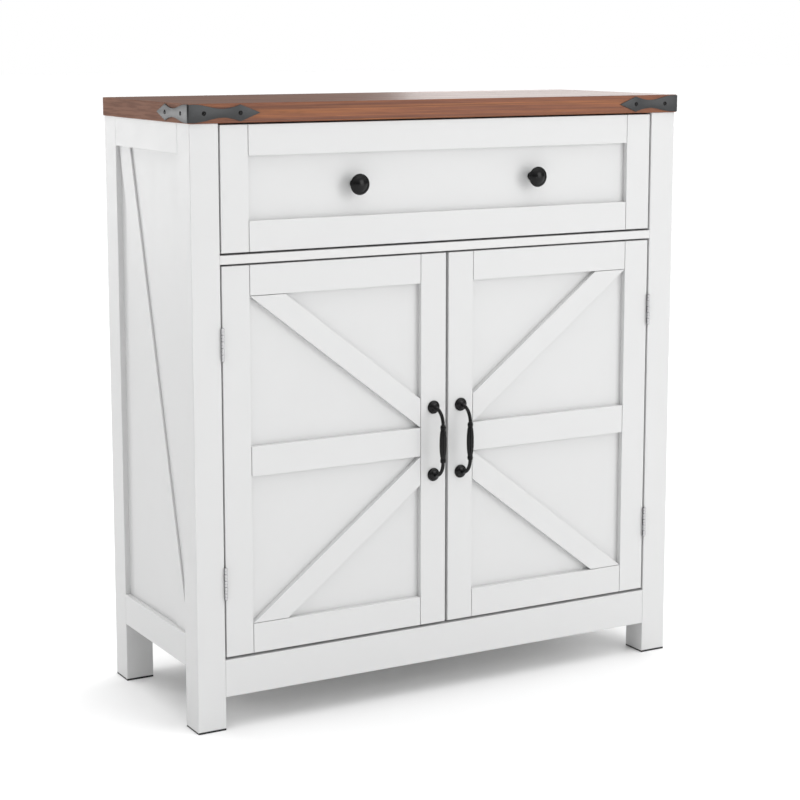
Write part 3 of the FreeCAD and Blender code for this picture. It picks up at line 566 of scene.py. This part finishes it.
BLACK_METAL = Finish(
    "satin_black_metal", "black_metal",
    {"Color": (0.0022, 0.0022, 0.0024), "Rubbed": (0.006, 0.006, 0.0065), "Rub": 0.5, "Sheen": 0.25},
    Surface.COATED_METAL, specular=0.24, bump=0.03)
BRACKET_METAL = Finish(
    "charcoal_bracket_metal", "bracket_metal",
    {"Color": (0.046, 0.047, 0.048), "Rubbed": (0.064, 0.065, 0.067), "Rub": 0.30, "Sheen": 0.38},
    Surface.COATED_METAL, metallic=0.9, bump=0.07)
HINGE_STEEL = Finish(
    "satin_hinge_steel", "hinge_steel",
    {"Grain": (300.0, 300.0, 2400.0), "Color": (0.50, 0.50, 0.51), "Sheen": 0.22},
    Surface.DRAWN_STEEL, metallic=1.0, bump=0.06)
ZINC_STEEL = Finish(
    "zinc_plated_steel", "zinc_steel",
    {"Grain": (2000.0, 60.0, 2000.0), "Color": (0.58, 0.60, 0.62), "Sheen": 0.34},
    Surface.DRAWN_STEEL, metallic=1.0, bump=0.08)
MAGNET = Finish(
    "nickel_magnet", "hinge_steel",
    {"Grain": (900.0, 900.0, 900.0), "Color": (0.50, 0.49, 0.47), "Sheen": 0.25},
    Surface.DRAWN_STEEL, metallic=1.0, bump=0.04)
WALNUT = Finish(
    "lacquered_walnut", "walnut_top",
    {"Light": (0.343, 0.122, 0.038), "Middle": (0.212, 0.072, 0.034), "Dark": (0.070, 0.024, 0.016),
     # The upward face's darker tone below is painted shade, for the light from above.
     "End": (0.215, 0.108, 0.072), "Ring": 0.0062, "Upper": 0.62, "Sheen": 0.35},
    Surface.WALNUT, specular=0.27, bump=0.08, bump_distance=0.15 * MM)
PALE_FLOOR = Finish(
    "pale_floor", "floor", {"Color": (0.93, 0.93, 0.93), "Cloud": 0.0, "Sheen": 0.9, "Peel": 0.0})
CAD_FINISHES = {finish.slot: finish for finish in (
    Finish("satin_white_paint", "white_paint",
           {"Color": (0.640, 0.642, 0.642), "Cloud": 0.03, "Sheen": 0.46, "Peel": 1.0}),
    Finish("white_laminate", "inner_board",
           {"Color": (0.66, 0.66, 0.655), "Cloud": 0.02, "Sheen": 0.50, "Peel": 0.5}),
    Finish("white_thin_board", "thin_board",
           {"Color": (0.64, 0.636, 0.628), "Cloud": 0.05, "Sheen": 0.60, "Peel": 0.8}),
    Finish("black_foot_plastic", "foot_plastic",
           {"Color": (0.008, 0.008, 0.009), "Cloud": 0.30, "Sheen": 0.55, "Peel": 1.0}),
    Finish("grey_catch_plastic", "catch_plastic",
           {"Color": (0.45, 0.45, 0.44), "Cloud": 0.06, "Sheen": 0.45, "Peel": 0.6}),
    WALNUT, BRACKET_METAL, BLACK_METAL, HINGE_STEEL, ZINC_STEEL)}


def finished(name: str, shape: Mesh, finish: Finish, body: str,
             smooth_below: float = SOFT_EDGE) -> bpy.types.Object:
    """Make an object of a mesh, dress it, and let it ride on a body.

    Args:
        name: The piece's name.
        shape: Its mesh, in place; it is freed.
        finish: Its finish, which also names its slot.
        body: The body that it moves with.
        smooth_below: Edges that turn less than this many degrees are shaded smooth.

    Returns:
        The finished object.
    """
    mesh = bpy.data.meshes.new(name)
    shape.to_mesh(mesh)
    shape.free()
    piece = linked(name, mesh)
    mesh.materials.append(finish.material())
    mesh.shade_smooth()
    mesh.set_sharp_from_angle(angle=math.radians(smooth_below))
    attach(piece, body)
    log.info("%s: %d faces on %s", name, len(mesh.polygons), body)
    return piece


# ---- Screws ----
@dataclass(frozen=True)
class DomeScrew:
    """A dome-head screw with a crossed recess, seen from its head."""

    radius: float
    rise: float
    slot_wide: float = 0.22
    slot_deep: float = 0.6
    slot_long: float = 0.62
    under_wide: float = 0.96
    under_deep: float = 0.5
    steps: int = 20
    dome_steps: int = 6

    def mesh(self) -> Mesh:
        """Make the head: a dome, then a cross cut into it and pressed down.

        Returns:
            Its mesh, its own Z outwards, with its rim on z = 0.
        """
        foot = -self.rise * self.under_deep
        under = [(0.0, foot), (self.radius * self.under_wide, foot)]
        shape = turned(under + dome(self.radius, self.rise, self.rise, self.dome_steps), self.steps)
        half = self.radius * self.slot_wide
        for axis in (Vector((1, 0, 0)), Vector((0, 1, 0))):
            for step in (-1, 1):
                cut(shape, axis * half * step, axis)
        inner, reach = half * 0.99, self.radius * self.slot_long
        for vert in shape.verts:
            across, along = sorted((abs(vert.co.x), abs(vert.co.y)))
            if across < inner and along < reach and vert.co.z > 0.0:
                vert.co.z -= self.rise * self.slot_deep
        return shape


def screw_set(name: str, screw: DomeScrew, places: Sequence[Matrix], finish: Finish,
              body: str) -> bpy.types.Object:
    """Make one object of several equal screws.

    Args:
        name: The piece's name.
        screw: The screw.
        places: Where each one's rim lies, its own Z outwards.
        finish: Its finish.
        body: The body that they ride on.

    Returns:
        The object.
    """
    whole = bmesh.new()
    for place in places:
        join(whole, screw.mesh(), place)
    return finished(name, whole, finish, body)


# ---- Corner brackets ----
@dataclass
class CornerBracket:
    """A strap bent round a front corner of the top, with a spear point on each arm."""

    side: Side
    thick: float = 1.5 * MM
    tall: float = 24.6 * MM
    long: float = 104.5 * MM
    square: float = 7.0 * MM
    waist: float = 11.8 * MM
    waist_at: float = 49.0 * MM
    lobe: float = 22.4 * MM
    lobe_at: float = 75.5 * MM
    lobe_hug: float = 1.9
    bend: float = 0.8 * MM
    bend_cuts: int = 8
    ease: float = 0.25 * MM
    fall_steps: int = 8
    rise_steps: int = 7
    screw_places: Point = (22.4 * MM, 75.5 * MM)
    screw: DomeScrew = DomeScrew(3.2 * MM, 1.1 * MM)

    def corner(self) -> Vector:
        """Find the top's corner that the strap is bent round.

        Returns:
            The corner, at the top's mid height.
        """
        low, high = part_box("tabletop")
        across = low.x if self.side is Side.LEFT else high.x
        return Vector((across, low.y, (low.z + high.z) / 2))

    def edge(self) -> list[Point]:
        """One long edge of an arm: a soft fall to the waist, then a rise that hugs it to the lobe.

        Returns:
            Its points, from the square end's shoulder to the tip.
        """
        shoulder = Vector((self.square, self.tall / 2))
        waist = Vector((self.waist_at, self.waist / 2))
        lobe = Vector((self.lobe_at, self.lobe / 2))
        points = []
        for step in range(self.fall_steps + 1):
            share = step / self.fall_steps
            drop = share * share * (3 - 2 * share)
            points.append((shoulder.lerp(waist, share).x, shoulder.lerp(waist, drop).y))
        for step in range(1, self.rise_steps + 1):
            share = step / self.rise_steps
            points.append((waist.lerp(lobe, share).x, waist.lerp(lobe, share ** self.lobe_hug).y))
        return points + [(self.long, 0.0)]

    def bend_reach(self) -> float:
        """How far the bend reaches along the flat strap, each way from the corner."""
        return self.bend * math.pi / 4

    def bent(self, along: float, out: float) -> Point:
        """Bend one point of the flat strap.

        Args:
            along: Its place along the strap from the corner, the front arm's being above 0.
            out: How far it lies out from the wood.

        Returns:
            Its place along the front edge, and back from it.
        """
        reach = self.bend_reach()
        if along >= reach:
            return (self.bend + along - reach, -out)
        if along <= -reach:
            return (-out, self.bend - along - reach)
        turn = math.pi * (1.0 + (along / reach + 1.0) / 4)
        radius = self.bend + out
        return (self.bend + radius * math.cos(turn), self.bend + radius * math.sin(turn))

    def flat(self) -> Mesh:
        """Both arms in one flat plate.

        Returns:
            The plate: length on X, height on Z, thickness on Y, its outer edges eased.
        """
        shape = bmesh.new()
        arm = self.edge()
        upper = [(-x, z) for x, z in reversed(arm[:-1])] + arm
        ring = upper + [(-x, -z) for x, z in upper]
        face = shape.faces.new([shape.verts.new((x, 0.0, z)) for x, z in ring])
        pushed = bmesh.ops.extrude_face_region(shape, geom=[face])
        moved = [item for item in pushed["geom"] if isinstance(item, bmesh.types.BMVert)]
        bmesh.ops.translate(shape, vec=(0.0, self.thick, 0.0), verts=moved)
        bmesh.ops.recalc_face_normals(shape, faces=shape.faces)
        eased(shape, [edge for edge in shape.edges
                      if all(vert.co.y > self.thick / 2 for vert in edge.verts)], self.ease)
        return shape

    def mesh(self) -> Mesh:
        """Bend the plate round the corner.

        Returns:
            The strap, in place.
        """
        shape = self.flat()
        reach, corner = self.bend_reach(), self.corner()
        for index in range(self.bend_cuts + 1):
            cut(shape, (reach * (2 * index / self.bend_cuts - 1.0), 0, 0), (1, 0, 0))
        for vert in shape.verts:
            across, back = self.bent(vert.co.x, vert.co.y)
            vert.co = corner + Vector((-self.side.value * across, back, vert.co.z))
        bmesh.ops.recalc_face_normals(shape, faces=shape.faces)
        return shape

    def screw_matrices(self) -> list[Matrix]:
        """Find where the screws go.

        Returns:
            The places of the four heads, two on each arm.
        """
        corner = self.corner()
        places = []
        for along in self.screw_places:
            on_front = corner + Vector((-self.side.value * along, -self.thick, 0.0))
            on_side = corner + Vector((self.side.value * self.thick, along, 0.0))
            places += [Facing.FRONT.at(on_front), self.side.outward.at(on_side)]
        return places

    def build(self) -> None:
        """Make the strap in place of its CAD node."""
        name = f"corner_bracket_{self.side.label}"
        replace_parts(finished(f"{name}_strap", self.mesh(), BRACKET_METAL, "cabinet", CRISP_EDGE), name)


# ---- Knobs and pulls ----
@dataclass
class MushroomKnob:
    """A cast knob: a stepped foot, a waisted neck and a broad, slightly domed head with a rim."""

    reach: float = 24.8 * MM
    foot: float = 6.1 * MM
    foot_rim: Bead = Bead(5.8, 0.9, 0.6, -60, 60, 4)
    foot_step: Bead = Bead(4.5, 1.9, 0.8, 50, 90, 3)
    neck: Bead = Bead(6.4, 5.4, 2.4, 225, 160, 6)
    under: Bead = Bead(4.4, 20.8, 9.0, -84, -34, 7)
    rim: Bead = Bead(13.4, 18.8, 1.5, -60, 84, 8)
    lip: Bead = Bead(12.3, 20.4, 0.55, 60, 165, 4)
    face: float = 11.5 * MM
    face_rise: float = 4.1 * MM
    face_steps: int = 12
    steps: int = 48

    def build(self, side: Side, spacing: float) -> Mesh:
        """Make one knob.

        Args:
            side: The side that it is on.
            spacing: How far apart the two knobs are.

        Returns:
            The knob, in place on the drawer front's recessed panel.
        """
        profile = [(0.0, 0.0), (self.foot, 0.0)]
        for bead in (self.foot_rim, self.foot_step, self.neck, self.under, self.rim, self.lip):
            profile += bead.points()
        profile += dome(self.face, self.face_rise, self.reach, self.face_steps)
        low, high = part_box("drawer_front_panel")
        place = Vector((side.value * spacing / 2, low.y, (low.z + high.z) / 2))
        shape = turned(profile, self.steps)
        bmesh.ops.transform(shape, matrix=Facing.FRONT.at(place), verts=shape.verts)
        return shape


@dataclass
class SpindlePull:
    """A cast pull: two stepped rosettes, a rod bent to a bow, and a fluted spindle with collars."""

    side: Side
    spacing: float = 99.4 * MM
    rise: float = 28.0 * MM
    rod: float = 2.6 * MM
    rod_root: float = 6.0 * MM
    rod_facets: int = 20
    bend_steps: int = 14
    rosette: float = 9.45 * MM
    rosette_rim: Bead = Bead(8.85, 1.1, 0.9, -40, 80, 6)
    rosette_groove: tuple[Point, Point] = ((7.85 * MM, 2.05 * MM), (7.55 * MM, 2.35 * MM))
    rosette_dome: Bead = Bead(5.15, 2.2, 2.2, 25, 88, 6)
    rosette_cone: Bead = Bead(4.85, 7.2, 2.4, 262, 190, 7)
    rosette_reach: float = 7.0 * MM
    grip_long: float = 54.7 * MM
    grip_radius: float = 5.35 * MM
    grip_end: float = 3.5 * MM
    grip_swell: float = 0.62
    grip_steps: int = 20
    collar: float = 4.4 * MM
    ring: float = 1.05 * MM
    ring_shrinks: Triple = (0.35 * MM, 0.0, 0.35 * MM)
    ring_gap: float = 0.3 * MM
    ring_turn: float = 66.0
    ring_steps: int = 5
    flutes: int = 9
    flute_facets: int = 8
    flute_deep: float = 0.95 * MM
    flute_start: float = 0.8 * MM
    flute_fade: float = 5.0 * MM

    def rosette_mesh(self) -> Mesh:
        """Make one rosette.

        Returns:
            A flat rim, a step and a low cone up to the rod, its own Z outwards.
        """
        profile = [(0.0, 0.0), (self.rosette, 0.0), *self.rosette_rim.points(), *self.rosette_groove]
        profile += self.rosette_dome.points() + self.rosette_cone.points()
        return turned(profile + [(0.0, self.rosette_reach)])

    def rod_mesh(self) -> Mesh:
        """Make the rod.

        Returns:
            A quarter bend from each rosette into the straight run behind the spindle.
        """
        shape = bmesh.new()
        root, top, bend = self.rod_root, self.spacing / 2, self.rise - self.rod_root
        turn = {"axis": (1, 0, 0), "angle": math.radians(90), "steps": self.bend_steps}
        bmesh.ops.create_circle(shape, segments=self.rod_facets, radius=self.rod)
        bmesh.ops.transform(shape, matrix=Facing.FRONT.at((0, -root, top)), verts=shape.verts)
        ends = bmesh.ops.spin(shape, geom=shape.verts[:] + shape.edges[:], cent=(0, -root, top - bend),
                              **turn)["geom_last"]
        edges = [item for item in ends if isinstance(item, bmesh.types.BMEdge)]
        pushed = bmesh.ops.extrude_edge_only(shape, edges=edges)["geom"]
        lowest = [item for item in pushed if isinstance(item, bmesh.types.BMVert)]
        bmesh.ops.translate(shape, vec=(0, 0, 2 * (bend - top)), verts=lowest)
        edges = [item for item in pushed if isinstance(item, bmesh.types.BMEdge)
                 and all(vert in lowest for vert in item.verts)]
        bmesh.ops.spin(shape, geom=lowest + edges, cent=(0, -root, bend - top), **turn)
        bmesh.ops.remove_doubles(shape, verts=shape.verts, dist=MERGE)
        bmesh.ops.holes_fill(shape, edges=[edge for edge in shape.edges if edge.is_boundary])
        bmesh.ops.recalc_face_normals(shape, faces=shape.faces)
        return shape

    def grip_mesh(self) -> Mesh:
        """Make the spindle.

        Returns:
            A slim barrel between two sets of rings, its flutes fading out towards its ends.
        """
        end, ring = self.grip_long / 2, self.ring
        rings = [(0.0, -end), (self.rod, -end)]
        for step, shrink in enumerate(self.ring_shrinks):
            low = -end + ring * (1 + 2 * step)
            rings += arc((self.collar - ring - shrink, low), ring, -self.ring_turn, self.ring_turn,
                         self.ring_steps)
        shoulder = end - 2 * len(self.ring_shrinks) * ring - self.ring_gap
        barrel = []
        for index in range(self.grip_steps + 1):
            share = index / self.grip_steps
            swell = math.sin(math.pi * share) ** self.grip_swell
            barrel.append((self.grip_end + (self.grip_radius - self.grip_end) * swell,
                           shoulder * (2 * share - 1)))
        mirrored = [(radius, -height) for radius, height in reversed(rings)]
        shape = turned(rings + barrel + mirrored, self.flute_facets * self.flutes)
        for vert in shape.verts:
            flat, height = Vector((vert.co.x, vert.co.y)), abs(vert.co.z)
            if height > shoulder - self.flute_start or flat.length < self.rod:
                continue
            fade = min(1.0, (shoulder - height) / self.flute_fade)
            turn = math.atan2(flat.y, flat.x)
            sink = self.flute_deep * fade * (1.0 - abs(math.sin(turn * self.flutes / 2)))
            vert.co.x, vert.co.y = flat * ((flat.length - sink) / flat.length)
        return shape

    def build(self) -> None:
        """Make the pull in place of its CAD node."""
        node = f"{self.side.door}_pull"
        low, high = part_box(node)
        whole = self.rod_mesh()
        for step in (-1, 1):
            join(whole, self.rosette_mesh(), Facing.FRONT.at((0, 0, step * self.spacing / 2)))
        join(whole, self.grip_mesh(), Matrix.Translation((0, -self.rise, 0)))
        foot = Vector(((low.x + high.x) / 2, high.y, (low.z + high.z) / 2))
        bmesh.ops.translate(whole, vec=foot, verts=whole.verts)
        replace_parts(finished(f"{self.side.door}_spindle_pull", whole, BLACK_METAL, self.side.door,
                             CAST_EDGE), node)


# ---- Hinges ----
@dataclass
class ButtHinge:
    """The two butt hinges of one side: grooved knuckles on a button-headed pin, and screwed leaves."""

    side: Side
    tall: float = 45.0 * MM
    knuckles: int = 5
    gap: float = 0.55 * MM
    barrel: float = 2.15 * MM
    barrel_ease: float = 0.3 * MM
    barrel_facets: int = 28
    bore: float = 1.25 * MM
    pin: float = 1.2 * MM
    pin_facets: int = 24
    pin_head: tuple[Point, ...] = (
        (1.763 * MM, 0.0), (1.763 * MM, 0.35 * MM), (1.075 * MM, 0.85 * MM), (0.0, 1.0 * MM))
    groove: float = 0.4 * MM
    leaf_thick: float = 1.2 * MM
    leaf_off: float = 0.75 * MM
    leaf_lift: float = 0.65 * MM
    leaf_deep: float = 16.0 * MM
    leaf_round: float = 2.0 * MM
    tab_sink: float = 0.2 * MM
    screw: DomeScrew = DomeScrew(2.0 * MM, 0.10 * MM, 0.16, 0.9)
    screw_spots: tuple[Point, ...] = ((0.17, 0.45), (0.5, 0.68), (0.83, 0.45))

    def feet(self) -> list[Vector]:
        """Find the low end of each hinge's axis.

        Returns:
            The lower hinge's, then the upper one's.
        """
        low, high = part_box("hinge_pins")
        across = high.x - self.pin if self.side is Side.RIGHT else low.x + self.pin
        return [Vector((across, low.y + self.pin, foot)) for foot in (low.z, high.z - self.tall)]

    def off_axis(self, distance: float, on_leg: bool) -> float:
        """A distance across from the axis, towards the leg or towards the door."""
        return self.side.value * (distance if on_leg else -distance)

    def knuckle(self, height: float) -> Mesh:
        """Make one knuckle.

        Args:
            height: Its length along the pin.

        Returns:
            A tube with a groove round its middle.
        """
        radius, ease, groove = self.barrel, self.barrel_ease, self.groove
        half = [(self.bore, 0.0), (radius - ease, 0.0), (radius, ease),
                (radius, height / 2 - groove), (radius - groove, height / 2 - groove)]
        mirrored = [(across, height - up) for across, up in reversed(half)]
        return turned(half + mirrored, self.barrel_facets, hollow=True)

    def leaf(self, foot: Vector, on_leg: bool) -> Mesh:
        """Make one leaf, lying in the gap beside the door.

        Args:
            foot: The low end of the hinge's axis.
            on_leg: Whether it is the leg's leaf rather than the door's.

        Returns:
            A plate with rounded free corners.
        """
        middle = foot.y + self.barrel + self.leaf_lift + self.leaf_deep / 2
        wall = foot.x + self.off_axis(self.leaf_off, on_leg)
        shape = slab((self.leaf_thick, self.leaf_deep, self.tall),
                     Vector((wall, middle, foot.z + self.tall / 2)))
        eased(shape, [edge for edge in shape.edges
                      if all(vert.co.y > middle for vert in edge.verts)
                      and abs(edge.verts[0].co.z - edge.verts[1].co.z) < MERGE],
              self.leaf_round, segments=4)
        return shape

    def half(self, on_leg: bool) -> Mesh:
        """Make what is fixed to the leg, or to the door.

        Args:
            on_leg: Which of the two.

        Returns:
            That half of both hinges: a leaf, and every other knuckle with the tab that joins them.
        """
        whole = bmesh.new()
        each = (self.tall - (self.knuckles - 1) * self.gap) / self.knuckles
        near, far = self.bore + self.tab_sink, self.barrel + self.leaf_lift
        tab = Vector((self.off_axis(self.leaf_off, on_leg), (near + far) / 2, each / 2))
        for foot in self.feet():
            join(whole, self.leaf(foot, on_leg))
            for index in range(0 if on_leg else 1, self.knuckles, 2):
                start = foot + Vector((0, 0, index * (each + self.gap)))
                join(whole, self.knuckle(each), Matrix.Translation(start))
                join(whole, slab((self.leaf_thick, far - near, each), start + tab))
        return whole

    def pins(self) -> Mesh:
        """Make the pins.

        Returns:
            Both pins, with a low button at each end.
        """
        whole = bmesh.new()
        profile = [(radius, -height) for radius, height in reversed(self.pin_head)]
        profile += [(self.pin, 0.0), (self.pin, self.tall)]
        profile += [(radius, self.tall + height) for radius, height in self.pin_head]
        for foot in self.feet():
            join(whole, turned(profile, self.pin_facets), Matrix.Translation(foot))
        return whole

    def screw_matrices(self, on_leg: bool) -> list[Matrix]:
        """Find where the leaves' countersunk screws lie, flush with each leaf's inner face.

        Args:
            on_leg: Whether they are the leg's rather than the door's.

        Returns:
            The places of their heads.
        """
        looks = (self.side.other if on_leg else self.side).outward
        places = []
        for foot in self.feet():
            face = foot.x + self.off_axis(self.leaf_off - self.leaf_thick / 2, on_leg)
            front = foot.y + self.barrel + self.leaf_lift
            for share, deep in self.screw_spots:
                places.append(looks.at((face, front + self.leaf_deep * deep, foot.z + self.tall * share)))
        return places


# ---- Fittings inside ----
@dataclass
class MagneticCatch:
    """What the catch and its strike plates carry: the magnets' steel poles, and screws."""

    reach: float = 0.4 * MM
    pole_thick: float = 1.2 * MM
    pole_share: float = 0.7
    pole_off: float = 3.0 * MM
    pole_ease: float = 0.15 * MM
    pair_share: float = 0.3
    screw: DomeScrew = DomeScrew(2.6 * MM, 0.9 * MM)

    def build(self) -> None:
        """Make two pairs of poles just proud of the catch, and a screw in each strike plate."""
        low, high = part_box("magnetic_catch")
        size = (self.pole_thick, 4 * self.reach, (high.z - low.z) * self.pole_share)
        poles = bmesh.new()
        for side in Side:
            for step in (-1, 1):
                across = side.value * (high.x - low.x) * self.pair_share + step * self.pole_off
                centre = Vector((across, low.y + self.reach, (low.z + high.z) / 2))
                join(poles, slab(size, centre, self.pole_ease))
        finished("catch_magnet_poles", poles, MAGNET, "cabinet", CRISP_EDGE)
        for side in Side:
            low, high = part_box(f"{side.door}_strike_plate")
            place = Facing.BACK.at(((low.x + high.x) / 2, high.y, (low.z + high.z) / 2))
            screw_set(f"{side.door}_strike_screw", self.screw, [place], ZINC_STEEL, side.door)


@dataclass
class BackScrews:
    """Two rows of round-headed screws in the rear rails."""

    step: float = 118.0 * MM
    edge: float = 26.0 * MM
    screw: DomeScrew = DomeScrew(2.8 * MM, 1.0 * MM)

    def build(self) -> None:
        """Make the screws along the upper and the lower rail, their heads to the back."""
        low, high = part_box("rear_rails")
        run = high.x - low.x - 2 * self.edge
        count = max(2, round(run / self.step))
        places = [Facing.BACK.at((low.x + self.edge + index * run / count, high.y, height))
                  for height in (low.z + self.edge, high.z - self.edge) for index in range(count + 1)]
        screw_set("back_rail_screws", self.screw, places, ZINC_STEEL, "cabinet")


@dataclass
class SlideScrews:
    """Pan-head screws that fix the drawer slides' outer members to the cabinet."""

    shares: Triple = (0.12, 0.5, 0.88)
    steel: float = 1.2 * MM
    screw: DomeScrew = DomeScrew(2.6 * MM, 0.7 * MM)

    def build(self) -> None:
        """Make the screws, their heads to the cabinet's middle."""
        low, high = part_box("cabinet_slides")
        places = []
        for side in Side:
            face = (high.x if side is Side.RIGHT else low.x) - side.value * self.steel
            for share in self.shares:
                place = (face, low.y + (high.y - low.y) * share, (low.z + high.z) / 2)
                places.append(side.other.outward.at(place))
        screw_set("cabinet_slide_screws", self.screw, places, ZINC_STEEL, "cabinet")


# ---- Studio ----
@dataclass(frozen=True)
class Softbox:
    """A square area light."""

    name: str
    place: Triple
    target: Triple
    size: float
    power: float

    def build(self) -> None:
        """Hang the light and turn it to its target."""
        data = bpy.data.lights.new(self.name, "AREA")
        data.shape = "SQUARE"
        data.size = self.size
        data.energy = self.power
        lamp = linked(self.name, data)
        lamp.location = self.place
        lamp.visible_camera = False
        aim = Vector(self.target) - Vector(self.place)
        lamp.rotation_euler = aim.to_track_quat("-Z", "Y").to_euler()


@dataclass(frozen=True)
class Studio:
    """A pale floor, soft light and the camera, which is placed from the front left leg."""

    floor_half: float = 40.0
    horizon: float = 0.12
    ceiling: float = 0.82
    ceiling_from: Point = (0.05, 0.6)
    overhead: float = 1.25
    overhead_from: Point = (0.65, 0.95)
    sensor: float = 36.0
    lens: float = 88.7
    heading: float = 29.37
    tilt: float = 8.79
    lift: float = 0.963
    aside: float = -1.038
    away: float = -2.412
    shift: float = -0.08
    lamps: tuple[Softbox, ...] = (
        Softbox("key", (2.2, -4.1, 1.8), (0.0, 0.0, 0.55), size=2.8, power=78.0),
        Softbox("gloss_panel", (2.225, 1.99, 1.15), (0.1, 0.0, 0.87), size=2.0, power=25.0),
        Softbox("side_panel", (-1.56, 2.12, 0.80), (-0.4, -0.1, 0.8), size=0.8, power=11.0))

    def floor(self) -> None:
        """Lay a wide, plain, pale floor."""
        shape = bmesh.new()
        bmesh.ops.create_grid(shape, x_segments=1, y_segments=1, size=self.floor_half)
        mesh = bpy.data.meshes.new("floor")
        shape.to_mesh(mesh)
        shape.free()
        mesh.materials.append(PALE_FLOOR.material())
        linked("floor", mesh)

    def world(self) -> None:
        """Light the room: a plain white backdrop, and a bright ceiling that fades to dim walls."""
        world = bpy.data.worlds.new("studio")
        bpy.context.scene.world = world
        world.use_nodes = True
        world.node_tree.nodes.clear()
        net = Wiring(world.node_tree)
        height = net.split(net.node("ShaderNodeTexCoord", {}).outputs["Generated"])[2]
        glow = net.math("ADD", net.spread(height, *self.ceiling_from, self.horizon, self.ceiling),
                        net.spread(height, *self.overhead_from, 0.0, self.overhead))
        room = net.node("ShaderNodeBackground", {"Color": WHITE, "Strength": glow})
        backdrop = net.node("ShaderNodeBackground", {"Color": WHITE})
        seen = net.node("ShaderNodeLightPath", {}).outputs["Is Camera Ray"]
        choice = net.node("ShaderNodeMixShader", {0: seen, 1: room.outputs[0], 2: backdrop.outputs[0]})
        net.node("ShaderNodeOutputWorld", {"Surface": choice.outputs[0]})

    def camera(self) -> None:
        """Place the camera and aim it."""
        low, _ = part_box("leg_front_left")
        data = bpy.data.cameras.new("camera")
        data.sensor_width = self.sensor
        data.lens = self.lens
        data.shift_y = self.shift
        eye = linked("camera", data)
        eye.location = (low.x + self.aside, low.y + self.away, self.lift)
        eye.rotation_euler = (math.radians(90 - self.tilt), 0.0, -math.radians(self.heading))
        bpy.context.scene.camera = eye

    def build(self) -> None:
        """Set up the whole studio."""
        self.floor()
        self.world()
        for lamp in self.lamps:
            lamp.build()
        self.camera()
        bpy.context.scene.view_settings.view_transform = "Standard"


# ---- The sideboard ----
@dataclass
class Sideboard:
    """The whole piece: which finish each board wears, and the hardware on it."""

    knob_spacing: float = 294.0 * MM

    def boards(self) -> None:
        """Dress every CAD node by the material slot that the record gives it."""
        for part in frame["record"]["subparts"]:
            finish = CAD_FINISHES[part["material_slot"]]
            mesh = frame["nodes"][part["node"]].data
            mesh.materials.clear()
            mesh.materials.append(finish.material())
            log.info("%s: %s", part["node"], finish.name)

    def knobs(self) -> None:
        """Make both knobs, in place of their CAD node."""
        whole = bmesh.new()
        for side in Side:
            join(whole, MushroomKnob().build(side, self.knob_spacing))
        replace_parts(finished("drawer_knobs", whole, BLACK_METAL, "drawer", CAST_EDGE), "knobs")

    def brackets(self) -> None:
        """Make the two corner brackets and their screws."""
        brackets = [CornerBracket(side) for side in Side]
        places = [place for bracket in brackets for place in bracket.screw_matrices()]
        for bracket in brackets:
            bracket.build()
        heads = screw_set("bracket_screw_heads", brackets[0].screw, places, BLACK_METAL, "cabinet")
        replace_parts(heads, "bracket_screws")

    def hinges(self) -> None:
        """Make the four butt hinges: each door's halves, then the legs' halves and the pins."""
        hinges = [ButtHinge(side) for side in Side]
        fixed, pins = bmesh.new(), bmesh.new()
        for hinge in hinges:
            join(fixed, hinge.half(True))
            join(pins, hinge.pins())
            door = hinge.side.door
            moving = finished(f"{door}_butt_hinges", hinge.half(False), HINGE_STEEL, door, CRISP_EDGE)
            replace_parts(moving, f"{door}_hinge_leaves")
            screw_set(f"{door}_hinge_screws", hinge.screw, hinge.screw_matrices(False), HINGE_STEEL, door)
        for name, shape, node in (("butt_hinge_leg_halves", fixed, "hinge_frame_leaves"),
                                  ("butt_hinge_pins", pins, "hinge_pins")):
            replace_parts(finished(name, shape, HINGE_STEEL, "cabinet", CRISP_EDGE), node)
        places = [place for hinge in hinges for place in hinge.screw_matrices(True)]
        screw_set("leg_hinge_screws", hinges[0].screw, places, HINGE_STEEL, "cabinet")

    def build(self) -> None:
        """Build and dress everything."""
        self.boards()
        self.knobs()
        self.brackets()
        self.hinges()
        for piece in (*map(SpindlePull, Side), MagneticCatch(), BackScrews(), SlideScrews()):
            piece.build()


def main() -> None:
    """Build the studio and the sideboard."""
    logging.basicConfig(level=logging.INFO, format="%(name)s %(message)s")
    Studio().build()
    Sideboard().build()


if __name__ == "__main__":
    main()
